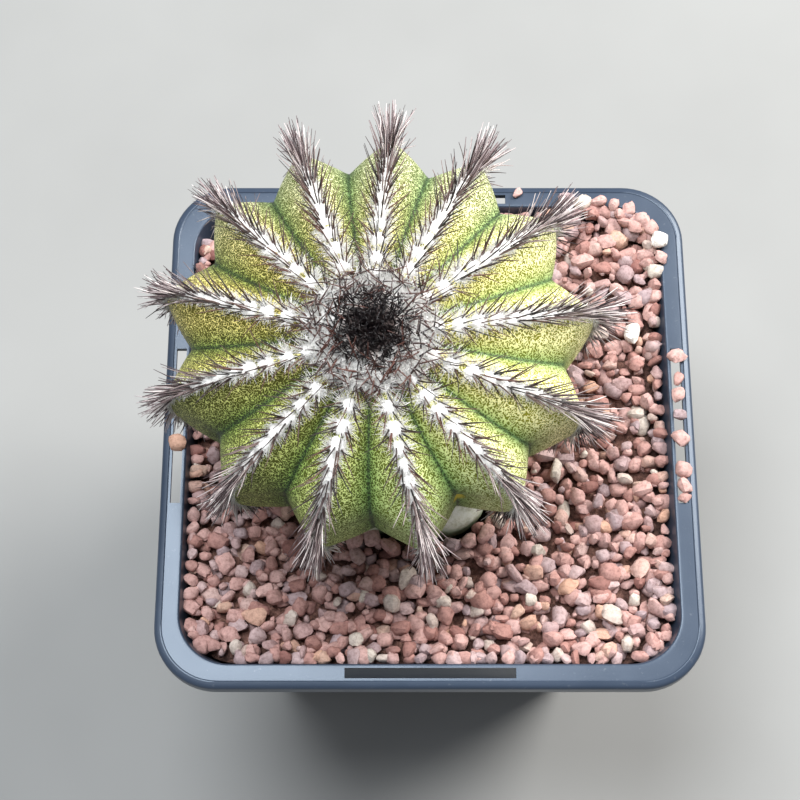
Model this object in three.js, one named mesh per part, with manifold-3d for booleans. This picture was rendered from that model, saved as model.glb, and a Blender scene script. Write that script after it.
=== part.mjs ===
// A grafted Uebelmannia pectinifera in its pot: a thirteen-ribbed globular scion with woolly,
// spiny rib edges, grown on a short ribbed stock, in a square plastic pot filled with potting
// mix and dressed with pink-brown grit. Millimetres, +Z up, +Y away from the viewer, origin on
// the ground under the middle of the pot.
import * as THREE from 'three';
import { mergeVertices } from 'three/addons/utils/BufferGeometryUtils.js';
import Module from 'manifold-3d';

const wasm = await Module();
wasm.setup();

// Pot
const POT_HEIGHT = 78;
const RIM_HALF = 45;
const RIM_RADIUS = 10.4;
const LIP_DROP = 3;
const LIP_THICK = 0.9;
const FLANGE_THICK = 1.1;
const WALL_HALF_TOP = 40.9;
const WALL_HALF_FLOOR = 29.9;
const WALL_RADIUS_TOP = 8.4;
const WALL_RADIUS_FLOOR = 6;
const WALL_THICK = 0.8;
const FLOOR_UNDER = 2;
const FLOOR_TOP = 3.4;
const SLOT_LENGTH = 27.7;
const SLOT_WIDTH = 1.7;
const FOOT_HALF = 6.5;
const FOOT_OFFSET = 20.5;
const FOOT_CORNER = 3;
const CENTRE_FOOT_RADIUS = 8;
const DRAIN_LENGTH = 12;
const DRAIN_WIDTH = 4;
const DRAIN_OFFSET = 21.5;
const DRAIN_ROUND_RADIUS = 2.6;
const DRAIN_ROUND_OFFSET = 11;
const CORNER_STEPS = 6;
const SMALL_STEPS = 3;
const DISC_SIDES = 16;
const GAP = 0.3;

// Potting mix and grit
const MIX_TOP = 67.6;
const GRIT_BOTTOM = 68;
const GRIT_LEVEL = 73.8;
const GRIT_CELL = 5.7;
const GRIT_JITTER = 0.9;
const GRIT_RELIEF = 1.9;
const GRIT_HEAP = 3.6;
const GRIT_HEAP_X = 31;
const GRIT_HEAP_Y = 34;
const GRIT_HEAP_SPREAD = 13;
const GRIT_WAVE = 0.35;
const GRIT_WAVE_TURN = 0.17;
const GRIT_CREVICE = 0.4;
const GRIT_TILT = 0.4;
const GRIT_TOP_SHARE = 0.4;
// The corners of a cell that each corner of its stone's top stands over
const GRIT_TOP = [[0, 1], [2, 2], [3, 4], [5, 5]];

// Stock
const STOCK_X = -3.9;
const STOCK_Y = -0.2;
const STOCK_RIBS = 6;
const STOCK_RIB_ANGLE = -60;
const STOCK_FOOT = 46;
const STOCK_TOP = 85.2;
const STOCK_SHOULDER = 5.6;
const STOCK_RADIUS = 20.8;
const STOCK_BURIED_RADIUS = 15.5;
const STOCK_TOP_RADIUS = 15;
const STOCK_RIB_DEPTH = 4.2;
const STOCK_STEPS = 36;
const STOCK_FOOT_RADIUS = 11;
const STOCK_BURIED_DEPTH = 34;
// How far below the stock's top each of its rings lies
const STOCK_LEVELS = [35, 28, 20, 13, 9, 6.6, 5.4, 4, 1.4];

// Scion
const RIBS = 13;
// The bearing of each rib in degrees, as measured: the ribs aren't evenly spaced
const RIB_BEARINGS = [
  112.5, 86.7, 61.2, 34.5, 5.6, -23.2, -51.3, -77.8, -105.8, -131.7, -161.7, -191.4, -220.9,
];
const BODY_X = -8.2;
const BODY_Y = 5.1;
const BODY_WAIST_Z = 103.6;
const BODY_RADIUS = 34.1;
const BODY_RISE = 16;
const BODY_DROP = 19;
const BODY_FULLNESS = 0.92;
const CROWN_SHIFT_X = -0.95;
const CROWN_SHIFT_Y = -5.2;
const NECK_SHIFT_X = 1.5;
const NECK_SHIFT_Y = -3.2;
const NECK_RADIUS = 12;
const RIB_DEPTH = 5;
// The groove after the seventh rib is cut in further, and shows the stock below
const DEEP_GROOVE = 6;
const DEEP_GROOVE_EXTRA = 1.2;
const FACE_BULGE = 0.35;
const LEDGE_HALF = 1.25;
const BODY_FIRST = 0.11;
const BODY_RINGS = 23;

// Areole rows and crown, with angles in radians from the crown down the body
const ROW_START = 0.25;
const ROW_END = 2.3;
const ROW_SECTIONS = 12;
const WOOL_WIDTH = 2.3;
const WOOL_HEIGHT = 1.35;
const AREOLES = 11;
const SPINE_RADIUS = 0.36;
const SPINE_ROOT = 0.85;
const SPINE_LENGTH_FIRST = 5.2;
const SPINE_LENGTH_LAST = 8.6;
const SPINE_RISE_FIRST = 0.62;
const SPINE_RISE_LAST = 1.12;
const SPINE_SWING = 0.62;
const SPINE_SCATTER = 0.16;
const CROWN_EDGE = 0.2;
const CROWN_RISE = 1.5;
const CROWN_SIDES = 20;
const CROWN_SPINES = 48;
const CROWN_SPINE_REACH = 5.6;
const CROWN_SPINE_LENGTH = 6.2;
const CROWN_LEAN_MIDDLE = 0.12;
const CROWN_LEAN_EDGE = 0.62;
const GOLDEN_ANGLE = Math.PI * (3 - Math.sqrt(5));

const radians = THREE.MathUtils.degToRad;
const mix = THREE.MathUtils.lerp;
const smooth = THREE.MathUtils.smoothstep;

function seededRandom(seed) {
  let state = seed;
  return () => {
    state = (state * 1664525 + 1013904223) % 4294967296;
    return state / 4294967296;
  };
}

// A solid from rings of points: walls between neighbours, a fan over each end
function loft(rings) {
  const count = rings[0].length;
  const points = rings.flat();
  const faces = [];
  for (let r = 0; r + 1 < rings.length; r += 1) {
    for (let i = 0; i < count; i += 1) {
      const a = r * count + i;
      const b = r * count + (i + 1) % count;
      faces.push([a, b, b + count], [a, b + count, a + count]);
    }
  }
  const ends = [rings[0], rings[rings.length - 1]];
  ends.forEach((ring, end) => {
    const centre = ring.reduce((sum, p) => sum.add(p), new THREE.Vector3()).divideScalar(count);
    const hub = points.push(centre) - 1;
    const start = end === 0 ? 0 : (rings.length - 1) * count;
    for (let i = 0; i < count; i += 1) {
      const a = start + i;
      const b = start + (i + 1) % count;
      faces.push(end === 0 ? [b, a, hub] : [a, b, hub]);
    }
  });
  return shell(points, faces);
}

// A closed mesh from points and triangles, turned to face outwards
function shell(points, faces) {
  let volume = 0;
  for (const [a, b, c] of faces) {
    volume += points[a].dot(new THREE.Vector3().crossVectors(points[b], points[c]));
  }
  const index = faces.flatMap(([a, b, c]) => (volume < 0 ? [a, c, b] : [a, b, c]));
  const geometry = new THREE.BufferGeometry();
  const flat = points.flatMap((p) => [p.x, p.y, p.z]);
  geometry.setAttribute('position', new THREE.Float32BufferAttribute(flat, 3));
  geometry.setIndex(index);
  return geometry;
}

function toManifold(geometry) {
  const bare = new THREE.BufferGeometry();
  bare.setAttribute('position', geometry.getAttribute('position'));
  bare.setIndex(geometry.index);
  const merged = mergeVertices(bare, 1e-4);
  return new wasm.Manifold(new wasm.Mesh({
    numProp: 3,
    vertProperties: new Float32Array(merged.getAttribute('position').array),
    triVerts: new Uint32Array(merged.index.array),
  }));
}

function fromManifold(solid) {
  const result = solid.getMesh();
  const geometry = new THREE.BufferGeometry();
  geometry.setAttribute('position', new THREE.Float32BufferAttribute(result.vertProperties, 3));
  geometry.setIndex(new THREE.Uint32BufferAttribute(result.triVerts, 1));
  return geometry;
}

function pieceMesh(name, geometry, color, roughness) {
  const material = new THREE.MeshStandardMaterial({ color, roughness, metalness: 0 });
  const mesh = new THREE.Mesh(geometry, material);
  mesh.name = name;
  return mesh;
}

// A rectangle with rounded corners at one height
function roundedRing(halfX, halfY, radius, z, x = 0, y = 0, steps = CORNER_STEPS) {
  const ring = [];
  for (let corner = 0; corner < 4; corner += 1) {
    const signX = corner === 0 || corner === 3 ? 1 : -1;
    const signY = corner < 2 ? 1 : -1;
    for (let i = 0; i <= steps; i += 1) {
      const angle = (corner + i / steps) * Math.PI / 2;
      ring.push(new THREE.Vector3(
        x + signX * (halfX - radius) + radius * Math.cos(angle),
        y + signY * (halfY - radius) + radius * Math.sin(angle),
        z,
      ));
    }
  }
  return ring;
}

function block(halfX, halfY, radius, low, high, x, y) {
  const steps = radius > 1 ? SMALL_STEPS : 1;
  return toManifold(loft([
    roundedRing(halfX, halfY, radius, low, x, y, steps),
    roundedRing(halfX, halfY, radius, high, x, y, steps),
  ]));
}

function disc(radius, low, high, x, y) {
  const geometry = new THREE.CylinderGeometry(radius, radius, high - low, DISC_SIDES);
  geometry.rotateX(Math.PI / 2).translate(x, y, (low + high) / 2);
  return toManifold(geometry);
}

// Half the width of the pot's inside, and its corner radius, at a height
function insideHalf(z) {
  return mix(WALL_HALF_FLOOR, WALL_HALF_TOP, (z - FLOOR_TOP) / (POT_HEIGHT - FLOOR_TOP));
}

function insideRadius(z) {
  return mix(WALL_RADIUS_FLOOR, WALL_RADIUS_TOP, (z - FLOOR_TOP) / (POT_HEIGHT - FLOOR_TOP));
}

// Pot: a thin tapered wall, a flat flange with a turned-down lip, and a floor on low feet
function potSolid() {
  const square = (half, radius, z) => roundedRing(half, half, radius, z);
  const flangeUnder = POT_HEIGHT - FLANGE_THICK;
  const lipBottom = POT_HEIGHT - LIP_DROP;
  const wallOut = insideHalf(flangeUnder) + WALL_THICK;
  const wallRadius = insideRadius(flangeUnder) + WALL_THICK / 2;
  const floorOut = insideHalf(FLOOR_TOP) + WALL_THICK;
  let pot = toManifold(loft([
    square(floorOut - 1.1, WALL_RADIUS_FLOOR - 0.4, FLOOR_UNDER),
    square(floorOut, WALL_RADIUS_FLOOR + 0.4, FLOOR_TOP),
    square(wallOut, wallRadius, flangeUnder),
    square(RIM_HALF - LIP_THICK - 0.1, RIM_RADIUS - 0.7, flangeUnder),
    square(RIM_HALF - LIP_THICK, RIM_RADIUS - 0.6, lipBottom),
    square(RIM_HALF - 0.1, RIM_RADIUS, lipBottom),
    square(RIM_HALF, RIM_RADIUS, POT_HEIGHT - 0.8),
    square(RIM_HALF - 0.4, RIM_RADIUS - 0.3, POT_HEIGHT - 0.25),
    square(RIM_HALF - 1.1, RIM_RADIUS - 0.8, POT_HEIGHT),
    square(WALL_HALF_TOP + 0.4, WALL_RADIUS_TOP + 0.3, POT_HEIGHT),
    square(insideHalf(POT_HEIGHT - 0.35), WALL_RADIUS_TOP, POT_HEIGHT - 0.35),
    square(WALL_HALF_FLOOR, WALL_RADIUS_FLOOR, FLOOR_TOP),
  ]));
  const slotMiddle = wallOut + SLOT_WIDTH / 2 + 0.05;
  for (const side of [-1, 1]) {
    const high = POT_HEIGHT + 1;
    const low = lipBottom - 1;
    pot = pot.subtract(block(SLOT_LENGTH / 2, SLOT_WIDTH / 2, 0.2, low, high, 0, side * slotMiddle));
    pot = pot.subtract(block(SLOT_WIDTH / 2, SLOT_LENGTH / 2, 0.2, low, high, side * slotMiddle, 0));
  }
  return fromManifold(drains(feet(pot)));
}

function feet(pot) {
  const high = FLOOR_UNDER + 0.5;
  let joined = pot.add(disc(CENTRE_FOOT_RADIUS, 0, high, 0, 0));
  for (const x of [-FOOT_OFFSET, FOOT_OFFSET]) {
    for (const y of [-FOOT_OFFSET, FOOT_OFFSET]) {
      joined = joined.add(block(FOOT_HALF, FOOT_HALF, FOOT_CORNER, 0, high, x, y));
    }
  }
  return joined;
}

function drains(pot) {
  let open = pot;
  const low = FLOOR_UNDER - 1;
  const high = FLOOR_TOP + 1;
  const half = DRAIN_WIDTH / 2;
  const end = 0.9 * half;
  for (const side of [-1, 1]) {
    open = open.subtract(block(DRAIN_LENGTH / 2, half, end, low, high, 0, side * DRAIN_OFFSET));
    open = open.subtract(block(half, DRAIN_LENGTH / 2, end, low, high, side * DRAIN_OFFSET, 0));
    for (const across of [-1, 1]) {
      const x = side * DRAIN_ROUND_OFFSET;
      open = open.subtract(disc(DRAIN_ROUND_RADIUS, low, high, x, across * DRAIN_ROUND_OFFSET));
    }
  }
  return open;
}

// Stock: rounded ribs, a cut and healed shoulder, and a foot buried in the mix
function stockRadius(z) {
  const below = STOCK_TOP - STOCK_SHOULDER - z;
  if (below < 0) {
    return mix(STOCK_RADIUS, STOCK_TOP_RADIUS, -below / STOCK_SHOULDER);
  }
  return mix(STOCK_RADIUS, STOCK_BURIED_RADIUS, smooth(below, 0, STOCK_BURIED_DEPTH));
}

function stockRing(z, radius, depth, extra = 0) {
  const ring = [];
  for (let i = 0; i < STOCK_STEPS; i += 1) {
    const angle = radians(STOCK_RIB_ANGLE) + i * 2 * Math.PI / STOCK_STEPS;
    const wave = (1 - Math.cos(STOCK_RIBS * i * 2 * Math.PI / STOCK_STEPS)) / 2;
    const r = radius - depth * wave ** 1.6 + extra;
    ring.push(new THREE.Vector3(STOCK_X + r * Math.cos(angle), STOCK_Y + r * Math.sin(angle), z));
  }
  return ring;
}

function stockRings(extra = 0) {
  const top = STOCK_TOP;
  const rings = [];
  for (const down of STOCK_LEVELS) {
    const z = top - down;
    const depth = STOCK_RIB_DEPTH * (1 - 0.75 * smooth(z, top - STOCK_SHOULDER, top));
    rings.push(stockRing(z, stockRadius(z), depth, extra));
  }
  rings.unshift(stockRing(STOCK_FOOT - extra, STOCK_FOOT_RADIUS, 1, extra));
  rings.push(stockRing(top + 3 * extra, STOCK_TOP_RADIUS - 0.6, 0.9, extra));
  return rings;
}

function stockHole() {
  return toManifold(loft(stockRings(GAP + 0.05)));
}

function mixSolid() {
  const half = (z) => insideHalf(z) - GAP;
  const rings = [FLOOR_TOP + GAP, MIX_TOP].map((z) => (
    roundedRing(half(z), half(z), insideRadius(z) - GAP, z)
  ));
  return fromManifold(toManifold(loft(rings)).subtract(stockHole()));
}

// Grit: a bed of jittered six-sided cells, each one raised into a stone
function gritLevel(x, y) {
  const away = Math.hypot(x - GRIT_HEAP_X, y - GRIT_HEAP_Y) / GRIT_HEAP_SPREAD;
  const wave = GRIT_WAVE * Math.sin(x * GRIT_WAVE_TURN) * Math.cos(y * GRIT_WAVE_TURN);
  return GRIT_LEVEL + GRIT_HEAP * Math.exp(-away * away) + wave;
}

function cellNoise(q, r, salt) {
  const value = Math.sin(q * 127.1 + r * 311.7 + salt * 74.7) * 43758.5453;
  return value - Math.floor(value);
}

function cellCentre(q, r) {
  return new THREE.Vector3(
    GRIT_CELL * (q + r / 2) + GRIT_JITTER * (2 * cellNoise(q, r, 1) - 1),
    GRIT_CELL * r * Math.sqrt(3) / 2 + GRIT_JITTER * (2 * cellNoise(q, r, 2) - 1),
    0,
  );
}

function gritSolid() {
  const around = [[1, 0], [0, 1], [-1, 1], [-1, 0], [0, -1], [1, -1]];
  const reach = Math.ceil(1.25 * RIM_HALF / GRIT_CELL);
  const points = [];
  const faces = [];
  const rim = new Map();
  const key = (p) => `${Math.round(p.x * 1000)} ${Math.round(p.y * 1000)}`;
  for (let r = -reach; r <= reach; r += 1) {
    for (let q = -reach - Math.floor(r / 2); q <= reach - Math.floor(r / 2); q += 1) {
      const centre = cellCentre(q, r);
      const corners = around.map(([dq, dr], i) => {
        const [eq, er] = around[(i + 1) % 6];
        const sum = cellCentre(q + dq, r + dr).add(cellCentre(q + eq, r + er)).add(centre);
        return sum.divideScalar(3);
      });
      const height = gritLevel(centre.x, centre.y) + GRIT_RELIEF * (0.55 + 0.5 * cellNoise(q, r, 3));
      const tilt = cellNoise(q, r, 4) * 2 * Math.PI;
      const base = points.length;
      corners.forEach((corner) => {
        const low = corner.clone();
        low.z = gritLevel(corner.x, corner.y) - GRIT_CREVICE;
        points.push(low);
      });
      GRIT_TOP.forEach((pair, k) => {
        const high = corners[pair[0]].clone().add(corners[pair[1]]).multiplyScalar(0.5);
        high.lerp(centre, GRIT_TOP_SHARE * (1 - 0.3 * cellNoise(q, r, 5 + k)));
        high.z = height + GRIT_TILT * Math.cos(k * Math.PI / 2 - tilt);
        points.push(high);
      });
      const top = base + 6;
      faces.push([top, top + 1, top + 2], [top, top + 2, top + 3]);
      for (let i = 0; i < 6; i += 1) {
        const j = (i + 1) % 6;
        const near = top + GRIT_TOP.findIndex((pair) => pair.includes(i));
        const far = top + GRIT_TOP.findIndex((pair) => pair.includes(j));
        faces.push([base + i, base + j, far]);
        if (near !== far) {
          faces.push([base + i, far, near]);
        }
        const [from, to] = [key(corners[i]), key(corners[j])];
        if (!rim.delete(`${to}|${from}`)) {
          rim.set(`${from}|${to}`, [base + i, base + j]);
        }
      }
    }
  }
  const hub = points.push(new THREE.Vector3(0, 0, GRIT_BOTTOM - 5)) - 1;
  for (const [a, b] of rim.values()) {
    faces.push([b, a, hub]);
  }
  const bed = toManifold(shell(points, faces));
  const space = [GRIT_BOTTOM, POT_HEIGHT + 2].map((z) => (
    roundedRing(insideHalf(z) - GAP, insideHalf(z) - GAP, insideRadius(z) - GAP, z)
  ));
  return fromManifold(bed.intersect(toManifold(loft(space))).subtract(stockHole()));
}

// Scion: the angle of a rib, and points of its edge and of the groove beside it
function ribAngle(i) {
  return radians(RIB_BEARINGS[i % RIBS]) - (i < RIBS ? 0 : 2 * Math.PI);
}

function bodyProfile(t) {
  const rise = t < Math.PI / 2 ? BODY_RISE : BODY_DROP;
  const cosine = Math.cos(t);
  return {
    r: BODY_RADIUS * Math.sin(t) ** BODY_FULLNESS,
    z: rise * Math.sign(cosine) * Math.abs(cosine) ** BODY_FULLNESS,
  };
}

function bodyPoint(angle, t, inset) {
  const here = bodyProfile(t);
  const before = bodyProfile(t - 0.01);
  const after = bodyProfile(t + 0.01);
  const length = Math.hypot(after.r - before.r, after.z - before.z);
  const outR = (before.z - after.z) / length;
  const outZ = (after.r - before.r) / length;
  const lean = Math.abs(Math.cos(t)) ** 1.5;
  const up = t < Math.PI / 2;
  const r = here.r - inset * outR;
  return new THREE.Vector3(
    BODY_X + lean * (up ? CROWN_SHIFT_X : NECK_SHIFT_X) + r * Math.cos(angle),
    BODY_Y + lean * (up ? CROWN_SHIFT_Y : NECK_SHIFT_Y) + r * Math.sin(angle),
    BODY_WAIST_Z + here.z - inset * outZ,
  );
}

function grooveDepth(i, t) {
  const upper = Math.sin(Math.min(t, Math.PI / 2)) ** 0.7;
  const lower = t > Math.PI / 2 ? mix(1, 0.45, smooth(t, Math.PI / 2, 2.7)) : 1;
  const extra = i === DEEP_GROOVE ? DEEP_GROOVE_EXTRA * smooth(t, 0.8, 1.5) : 0;
  return (RIB_DEPTH + extra) * upper * lower;
}

function bodyEnd() {
  return Math.PI - Math.asin((NECK_RADIUS / BODY_RADIUS) ** (1 / BODY_FULLNESS));
}

function bodyLevel(k) {
  return mix(BODY_FIRST, bodyEnd(), (k / (BODY_RINGS - 1)) ** 0.93);
}

// Across one rib at one level: its ledge, the middle of its face, and the groove
function ribSection(i, t) {
  const angle = ribAngle(i);
  const next = ribAngle(i + 1);
  const edge = bodyPoint(angle, t, 0);
  const nextEdge = bodyPoint(next, t, 0);
  const groove = bodyPoint((angle + next) / 2, t, grooveDepth(i, t));
  const spread = edge.distanceTo(nextEdge) / 2;
  const share = Math.min(LEDGE_HALF / spread, 0.36);
  const outward = bodyPoint((angle + next) / 2, t, -1).sub(bodyPoint((angle + next) / 2, t, 0));
  const bulge = outward.multiplyScalar(FACE_BULGE * Math.sin(Math.min(t, 1.5)));
  return [
    edge.clone().lerp(groove, share),
    edge.clone().lerp(groove, 0.6).add(bulge),
    groove,
    nextEdge.clone().lerp(groove, 0.6).add(bulge),
    nextEdge.clone().lerp(groove, share),
  ];
}

function scionSolid() {
  const rings = [];
  for (let k = 0; k < BODY_RINGS; k += 1) {
    const ring = [];
    for (let i = 0; i < RIBS; i += 1) {
      ring.push(...ribSection(i, bodyLevel(k)));
    }
    rings.push(ring);
  }
  return loft(rings);
}

// The frame of a rib's edge: along it, out of it and across it
function edgeFrame(i, t) {
  const angle = ribAngle(i);
  const at = bodyPoint(angle, t, 0);
  const along = bodyPoint(angle, t + 0.02, 0).sub(bodyPoint(angle, t - 0.02, 0)).normalize();
  const across = new THREE.Vector3(-Math.sin(angle), Math.cos(angle), 0);
  const out = new THREE.Vector3().crossVectors(across, along).normalize();
  if (out.dot(bodyPoint(angle, t, -1).sub(at)) < 0) {
    out.negate();
  }
  return { at, along, across, out };
}

// How deep the ledge lies under the rib's edge
function ledgeDrop(i, t) {
  const frame = edgeFrame(i, t);
  const [left] = ribSection(i, t);
  const before = ribSection((i + RIBS - 1) % RIBS, t)[4];
  const drop = (p) => -p.clone().sub(frame.at).dot(frame.out);
  return Math.min(drop(left), drop(before));
}

function spine(root, direction, length, radius, turn) {
  const side = new THREE.Vector3(direction.y, -direction.x, 0);
  if (side.length() < 0.1) {
    side.set(1, 0, 0);
  }
  side.normalize().applyAxisAngle(direction, turn);
  const start = root.clone().addScaledVector(direction, -SPINE_ROOT);
  const corners = [0, 1, 2].map((k) => (
    start.clone().addScaledVector(side.clone().applyAxisAngle(direction, k * 2 * Math.PI / 3), radius)
  ));
  const tip = root.clone().addScaledVector(direction, length);
  return toManifold(shell([...corners, tip], [[0, 1, 2], [0, 3, 1], [1, 3, 2], [2, 3, 0]]));
}

// Areole row: the felt along one rib's edge, lying in the ledge
function woolStrip(i) {
  const rings = [];
  for (let k = 0; k < ROW_SECTIONS; k += 1) {
    const share = k / (ROW_SECTIONS - 1);
    const t = mix(ROW_START, ROW_END, share);
    const { at, across, out } = edgeFrame(i, t);
    const end = k === 0 || k === ROW_SECTIONS - 1 ? 0.6 : 1;
    const half = WOOL_WIDTH / 2 * mix(1, 0.78, share) * end;
    const floor = GAP + 0.02 - ledgeDrop(i, t);
    const height = WOOL_HEIGHT * end;
    const outline = [[-0.9, 0], [0.9, 0], [1, 0.5], [0, 1], [-1, 0.5]];
    rings.push(outline.map(([u, v]) => (
      at.clone().addScaledVector(across, u * half).addScaledVector(out, floor + v * height)
    )));
  }
  return toManifold(loft(rings));
}

function rowSpines(i) {
  const random = seededRandom(40 + i);
  const spines = [];
  for (let k = 0; k < AREOLES; k += 1) {
    const share = (k + 0.5) / AREOLES;
    const t = mix(ROW_START, ROW_END, share);
    const frame = edgeFrame(i, t);
    const length = mix(SPINE_LENGTH_FIRST, SPINE_LENGTH_LAST, smooth(share, 0, 0.45));
    const rise = mix(SPINE_RISE_FIRST, SPINE_RISE_LAST, smooth(share, 0, 0.5));
    const room = Math.PI * bodyProfile(t).r / RIBS - SPINE_ROOT;
    for (const side of k % 2 === 0 ? [-1, 0, 1] : [-1, 1]) {
      const swing = side * Math.min(SPINE_SWING, Math.asin(Math.min(0.9, room / length)));
      const lift = rise + SPINE_SCATTER * (random() - 0.5) + (side === 0 ? SPINE_SCATTER : 0);
      const yaw = swing * (0.9 + 0.2 * random());
      const direction = new THREE.Vector3()
        .addScaledVector(frame.out, Math.sin(lift) * Math.cos(yaw))
        .addScaledVector(frame.along, Math.cos(lift) * Math.cos(yaw) * (side === 0 ? 0.6 : 1))
        .addScaledVector(frame.across, Math.sin(yaw))
        .normalize();
      const root = frame.at.clone()
        .addScaledVector(frame.out, GAP - ledgeDrop(i, t) + WOOL_HEIGHT * 0.8)
        .addScaledVector(frame.along, side * 0.35)
        .addScaledVector(frame.across, side * 0.35);
      spines.push(spine(root, direction, length * (0.86 + 0.2 * random()), SPINE_RADIUS, random() * 2));
    }
  }
  return spines;
}

function areoleRowSolid(i) {
  return fromManifold(rowSpines(i).reduce((joined, one) => joined.add(one), woolStrip(i)));
}

// Crown: a low cap of wool over the growing point, with young spines standing in it
function crownPoint(angle, t, lift) {
  return bodyPoint(angle, Math.max(t, 0.0001), -lift);
}

function crownSolid() {
  const ring = (t, lift) => Array.from({ length: CROWN_SIDES }, (_, k) => (
    crownPoint(k * 2 * Math.PI / CROWN_SIDES, t, lift)
  ));
  const under = GAP + 0.05;
  let crown = toManifold(loft([
    ring(0.09, under),
    ring(CROWN_EDGE - 0.02, under),
    ring(CROWN_EDGE, under + 0.6),
    ring(0.15, under + CROWN_RISE),
    ring(0.07, under + CROWN_RISE),
  ]));
  const random = seededRandom(7);
  const centre = crownPoint(0, 0.02, 0);
  for (let k = 0; k < CROWN_SPINES; k += 1) {
    const share = Math.sqrt((k + 0.5) / CROWN_SPINES);
    const angle = k * GOLDEN_ANGLE;
    const reach = CROWN_SPINE_REACH * share;
    const lean = mix(CROWN_LEAN_MIDDLE, CROWN_LEAN_EDGE, share * share);
    const root = new THREE.Vector3(
      centre.x + reach * Math.cos(angle),
      centre.y + reach * Math.sin(angle),
      centre.z + GAP + CROWN_RISE * 0.9 - 0.012 * reach * reach,
    );
    const swirl = angle + 0.7 * (random() - 0.5);
    const direction = new THREE.Vector3().setFromSphericalCoords(1, lean, swirl).applyAxisAngle(
      new THREE.Vector3(1, 0, 0),
      Math.PI / 2,
    );
    const length = CROWN_SPINE_LENGTH * (0.8 + 0.3 * random());
    crown = crown.add(spine(root, direction, length, SPINE_RADIUS, random() * 2));
  }
  return fromManifold(crown);
}

function pottedCactus() {
  const whole = new THREE.Group();
  whole.name = 'potted_grafted_cactus';
  const container = new THREE.Group();
  container.name = 'container';
  container.add(pieceMesh('pot', potSolid(), 0x7c8a9c, 0.45));
  container.add(pieceMesh('potting_mix', mixSolid(), 0x3a2a22, 0.95));
  container.add(pieceMesh('grit_top_dressing', gritSolid(), 0xb98a7c, 0.9));
  const plant = new THREE.Group();
  plant.name = 'plant';
  plant.add(pieceMesh('rootstock', loft(stockRings()), 0xa3b598, 0.6));
  plant.add(pieceMesh('scion_body', scionSolid(), 0x6f8a34, 0.7));
  for (let i = 0; i < RIBS; i += 1) {
    const number = String(i + 1).padStart(2, '0');
    plant.add(pieceMesh(`areole_row_${number}`, areoleRowSolid(i), 0xb9aeb0, 0.85));
  }
  plant.add(pieceMesh('crown_tuft', crownSolid(), 0x3a3034, 0.85));
  whole.add(container, plant);
  return whole;
}

export default pottedCactus();
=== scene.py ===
# %% [markdown]
# # A grafted, ribbed cactus in a square pot
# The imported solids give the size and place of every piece. This lesson loads them as a fixed
# frame, then models the finer piece that stands for each one: the moulded pot, the loose grit,
# the stock, the speckled ribs of the scion, and the wool and spines along their edges.
# Lengths are written in millimetres and turned into Blender's metres by MM.

import math
import random

import bmesh
import bpy
import numpy as np
from mathutils import Matrix, Vector, noise


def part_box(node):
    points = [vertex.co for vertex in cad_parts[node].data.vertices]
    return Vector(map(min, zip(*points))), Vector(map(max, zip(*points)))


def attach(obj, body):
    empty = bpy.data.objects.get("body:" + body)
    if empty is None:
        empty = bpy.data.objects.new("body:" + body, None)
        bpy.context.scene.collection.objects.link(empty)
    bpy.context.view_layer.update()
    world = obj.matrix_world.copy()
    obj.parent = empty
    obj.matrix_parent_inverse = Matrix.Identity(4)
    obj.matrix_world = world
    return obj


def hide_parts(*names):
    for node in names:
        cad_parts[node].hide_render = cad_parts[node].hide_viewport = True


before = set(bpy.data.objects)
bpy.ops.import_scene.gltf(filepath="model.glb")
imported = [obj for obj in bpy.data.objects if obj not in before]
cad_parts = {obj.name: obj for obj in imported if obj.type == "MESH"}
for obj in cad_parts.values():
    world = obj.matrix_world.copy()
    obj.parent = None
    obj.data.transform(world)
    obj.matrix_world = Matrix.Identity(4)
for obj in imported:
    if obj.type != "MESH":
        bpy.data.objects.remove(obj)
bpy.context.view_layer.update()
MM = 0.001

# %% [markdown]
# ## Shared tools
# Every new piece ends the same way: its mesh becomes an object at the origin, it rides on the
# body named root, the solids it stands for are hidden, and it takes its material.
# A spine, a hair or a stone is modelled once with bmesh operators and then copied many times.
# Copying with numpy keeps this quick: a copy is the master's points times one matrix.

# %% Mixing numbers
def mix(low, high, share):
    return low + (high - low) * share


def smooth_share(value, low, high):
    share = min(1.0, max(0.0, (value - low) / (high - low)))
    return share * share * (3 - 2 * share)


# %% Finish a piece
def add_piece(name, mesh, material, replaces):
    mesh.name = name
    piece = bpy.data.objects.new(name, mesh)
    bpy.context.scene.collection.objects.link(piece)
    mesh.materials.clear()
    mesh.materials.append(material)
    mesh.polygons.foreach_set("use_smooth", [True] * len(mesh.polygons))
    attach(piece, "root")
    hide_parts(*replaces)
    print(name, "has", len(mesh.polygons), "faces")
    return piece


def mesh_from(bm):
    bmesh.ops.recalc_face_normals(bm, faces=bm.faces)
    mesh = bpy.data.meshes.new("new")
    bm.to_mesh(mesh)
    bm.free()
    return mesh


# %% Extrude a ring of vertices to its next place
def extrude_ring(bm, ring, places):
    count = len(ring)
    edges = [bm.edges.get((ring[i], ring[(i + 1) % count])) for i in range(count)]
    made = bmesh.ops.extrude_edge_only(bm, edges=edges)["geom"]
    follows = {}
    for vertex in (g for g in made if isinstance(g, bmesh.types.BMVert)):
        for edge in vertex.link_edges:
            follows.setdefault(edge.other_vert(vertex), vertex)
    new_ring = [follows[v] for v in ring]
    for vertex, place in zip(new_ring, places):
        vertex.co = place
    return new_ring


def first_ring(bm, places):
    ring = bmesh.ops.create_circle(bm, segments=len(places), radius=1)["verts"]
    for vertex, place in zip(ring, places):
        vertex.co = place
    return ring


# %% Copies of a few masters, as one mesh with values for each copy
# A random spin about its own axis: a full turn, near enough
FULL_SPIN = 6.28


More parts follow.
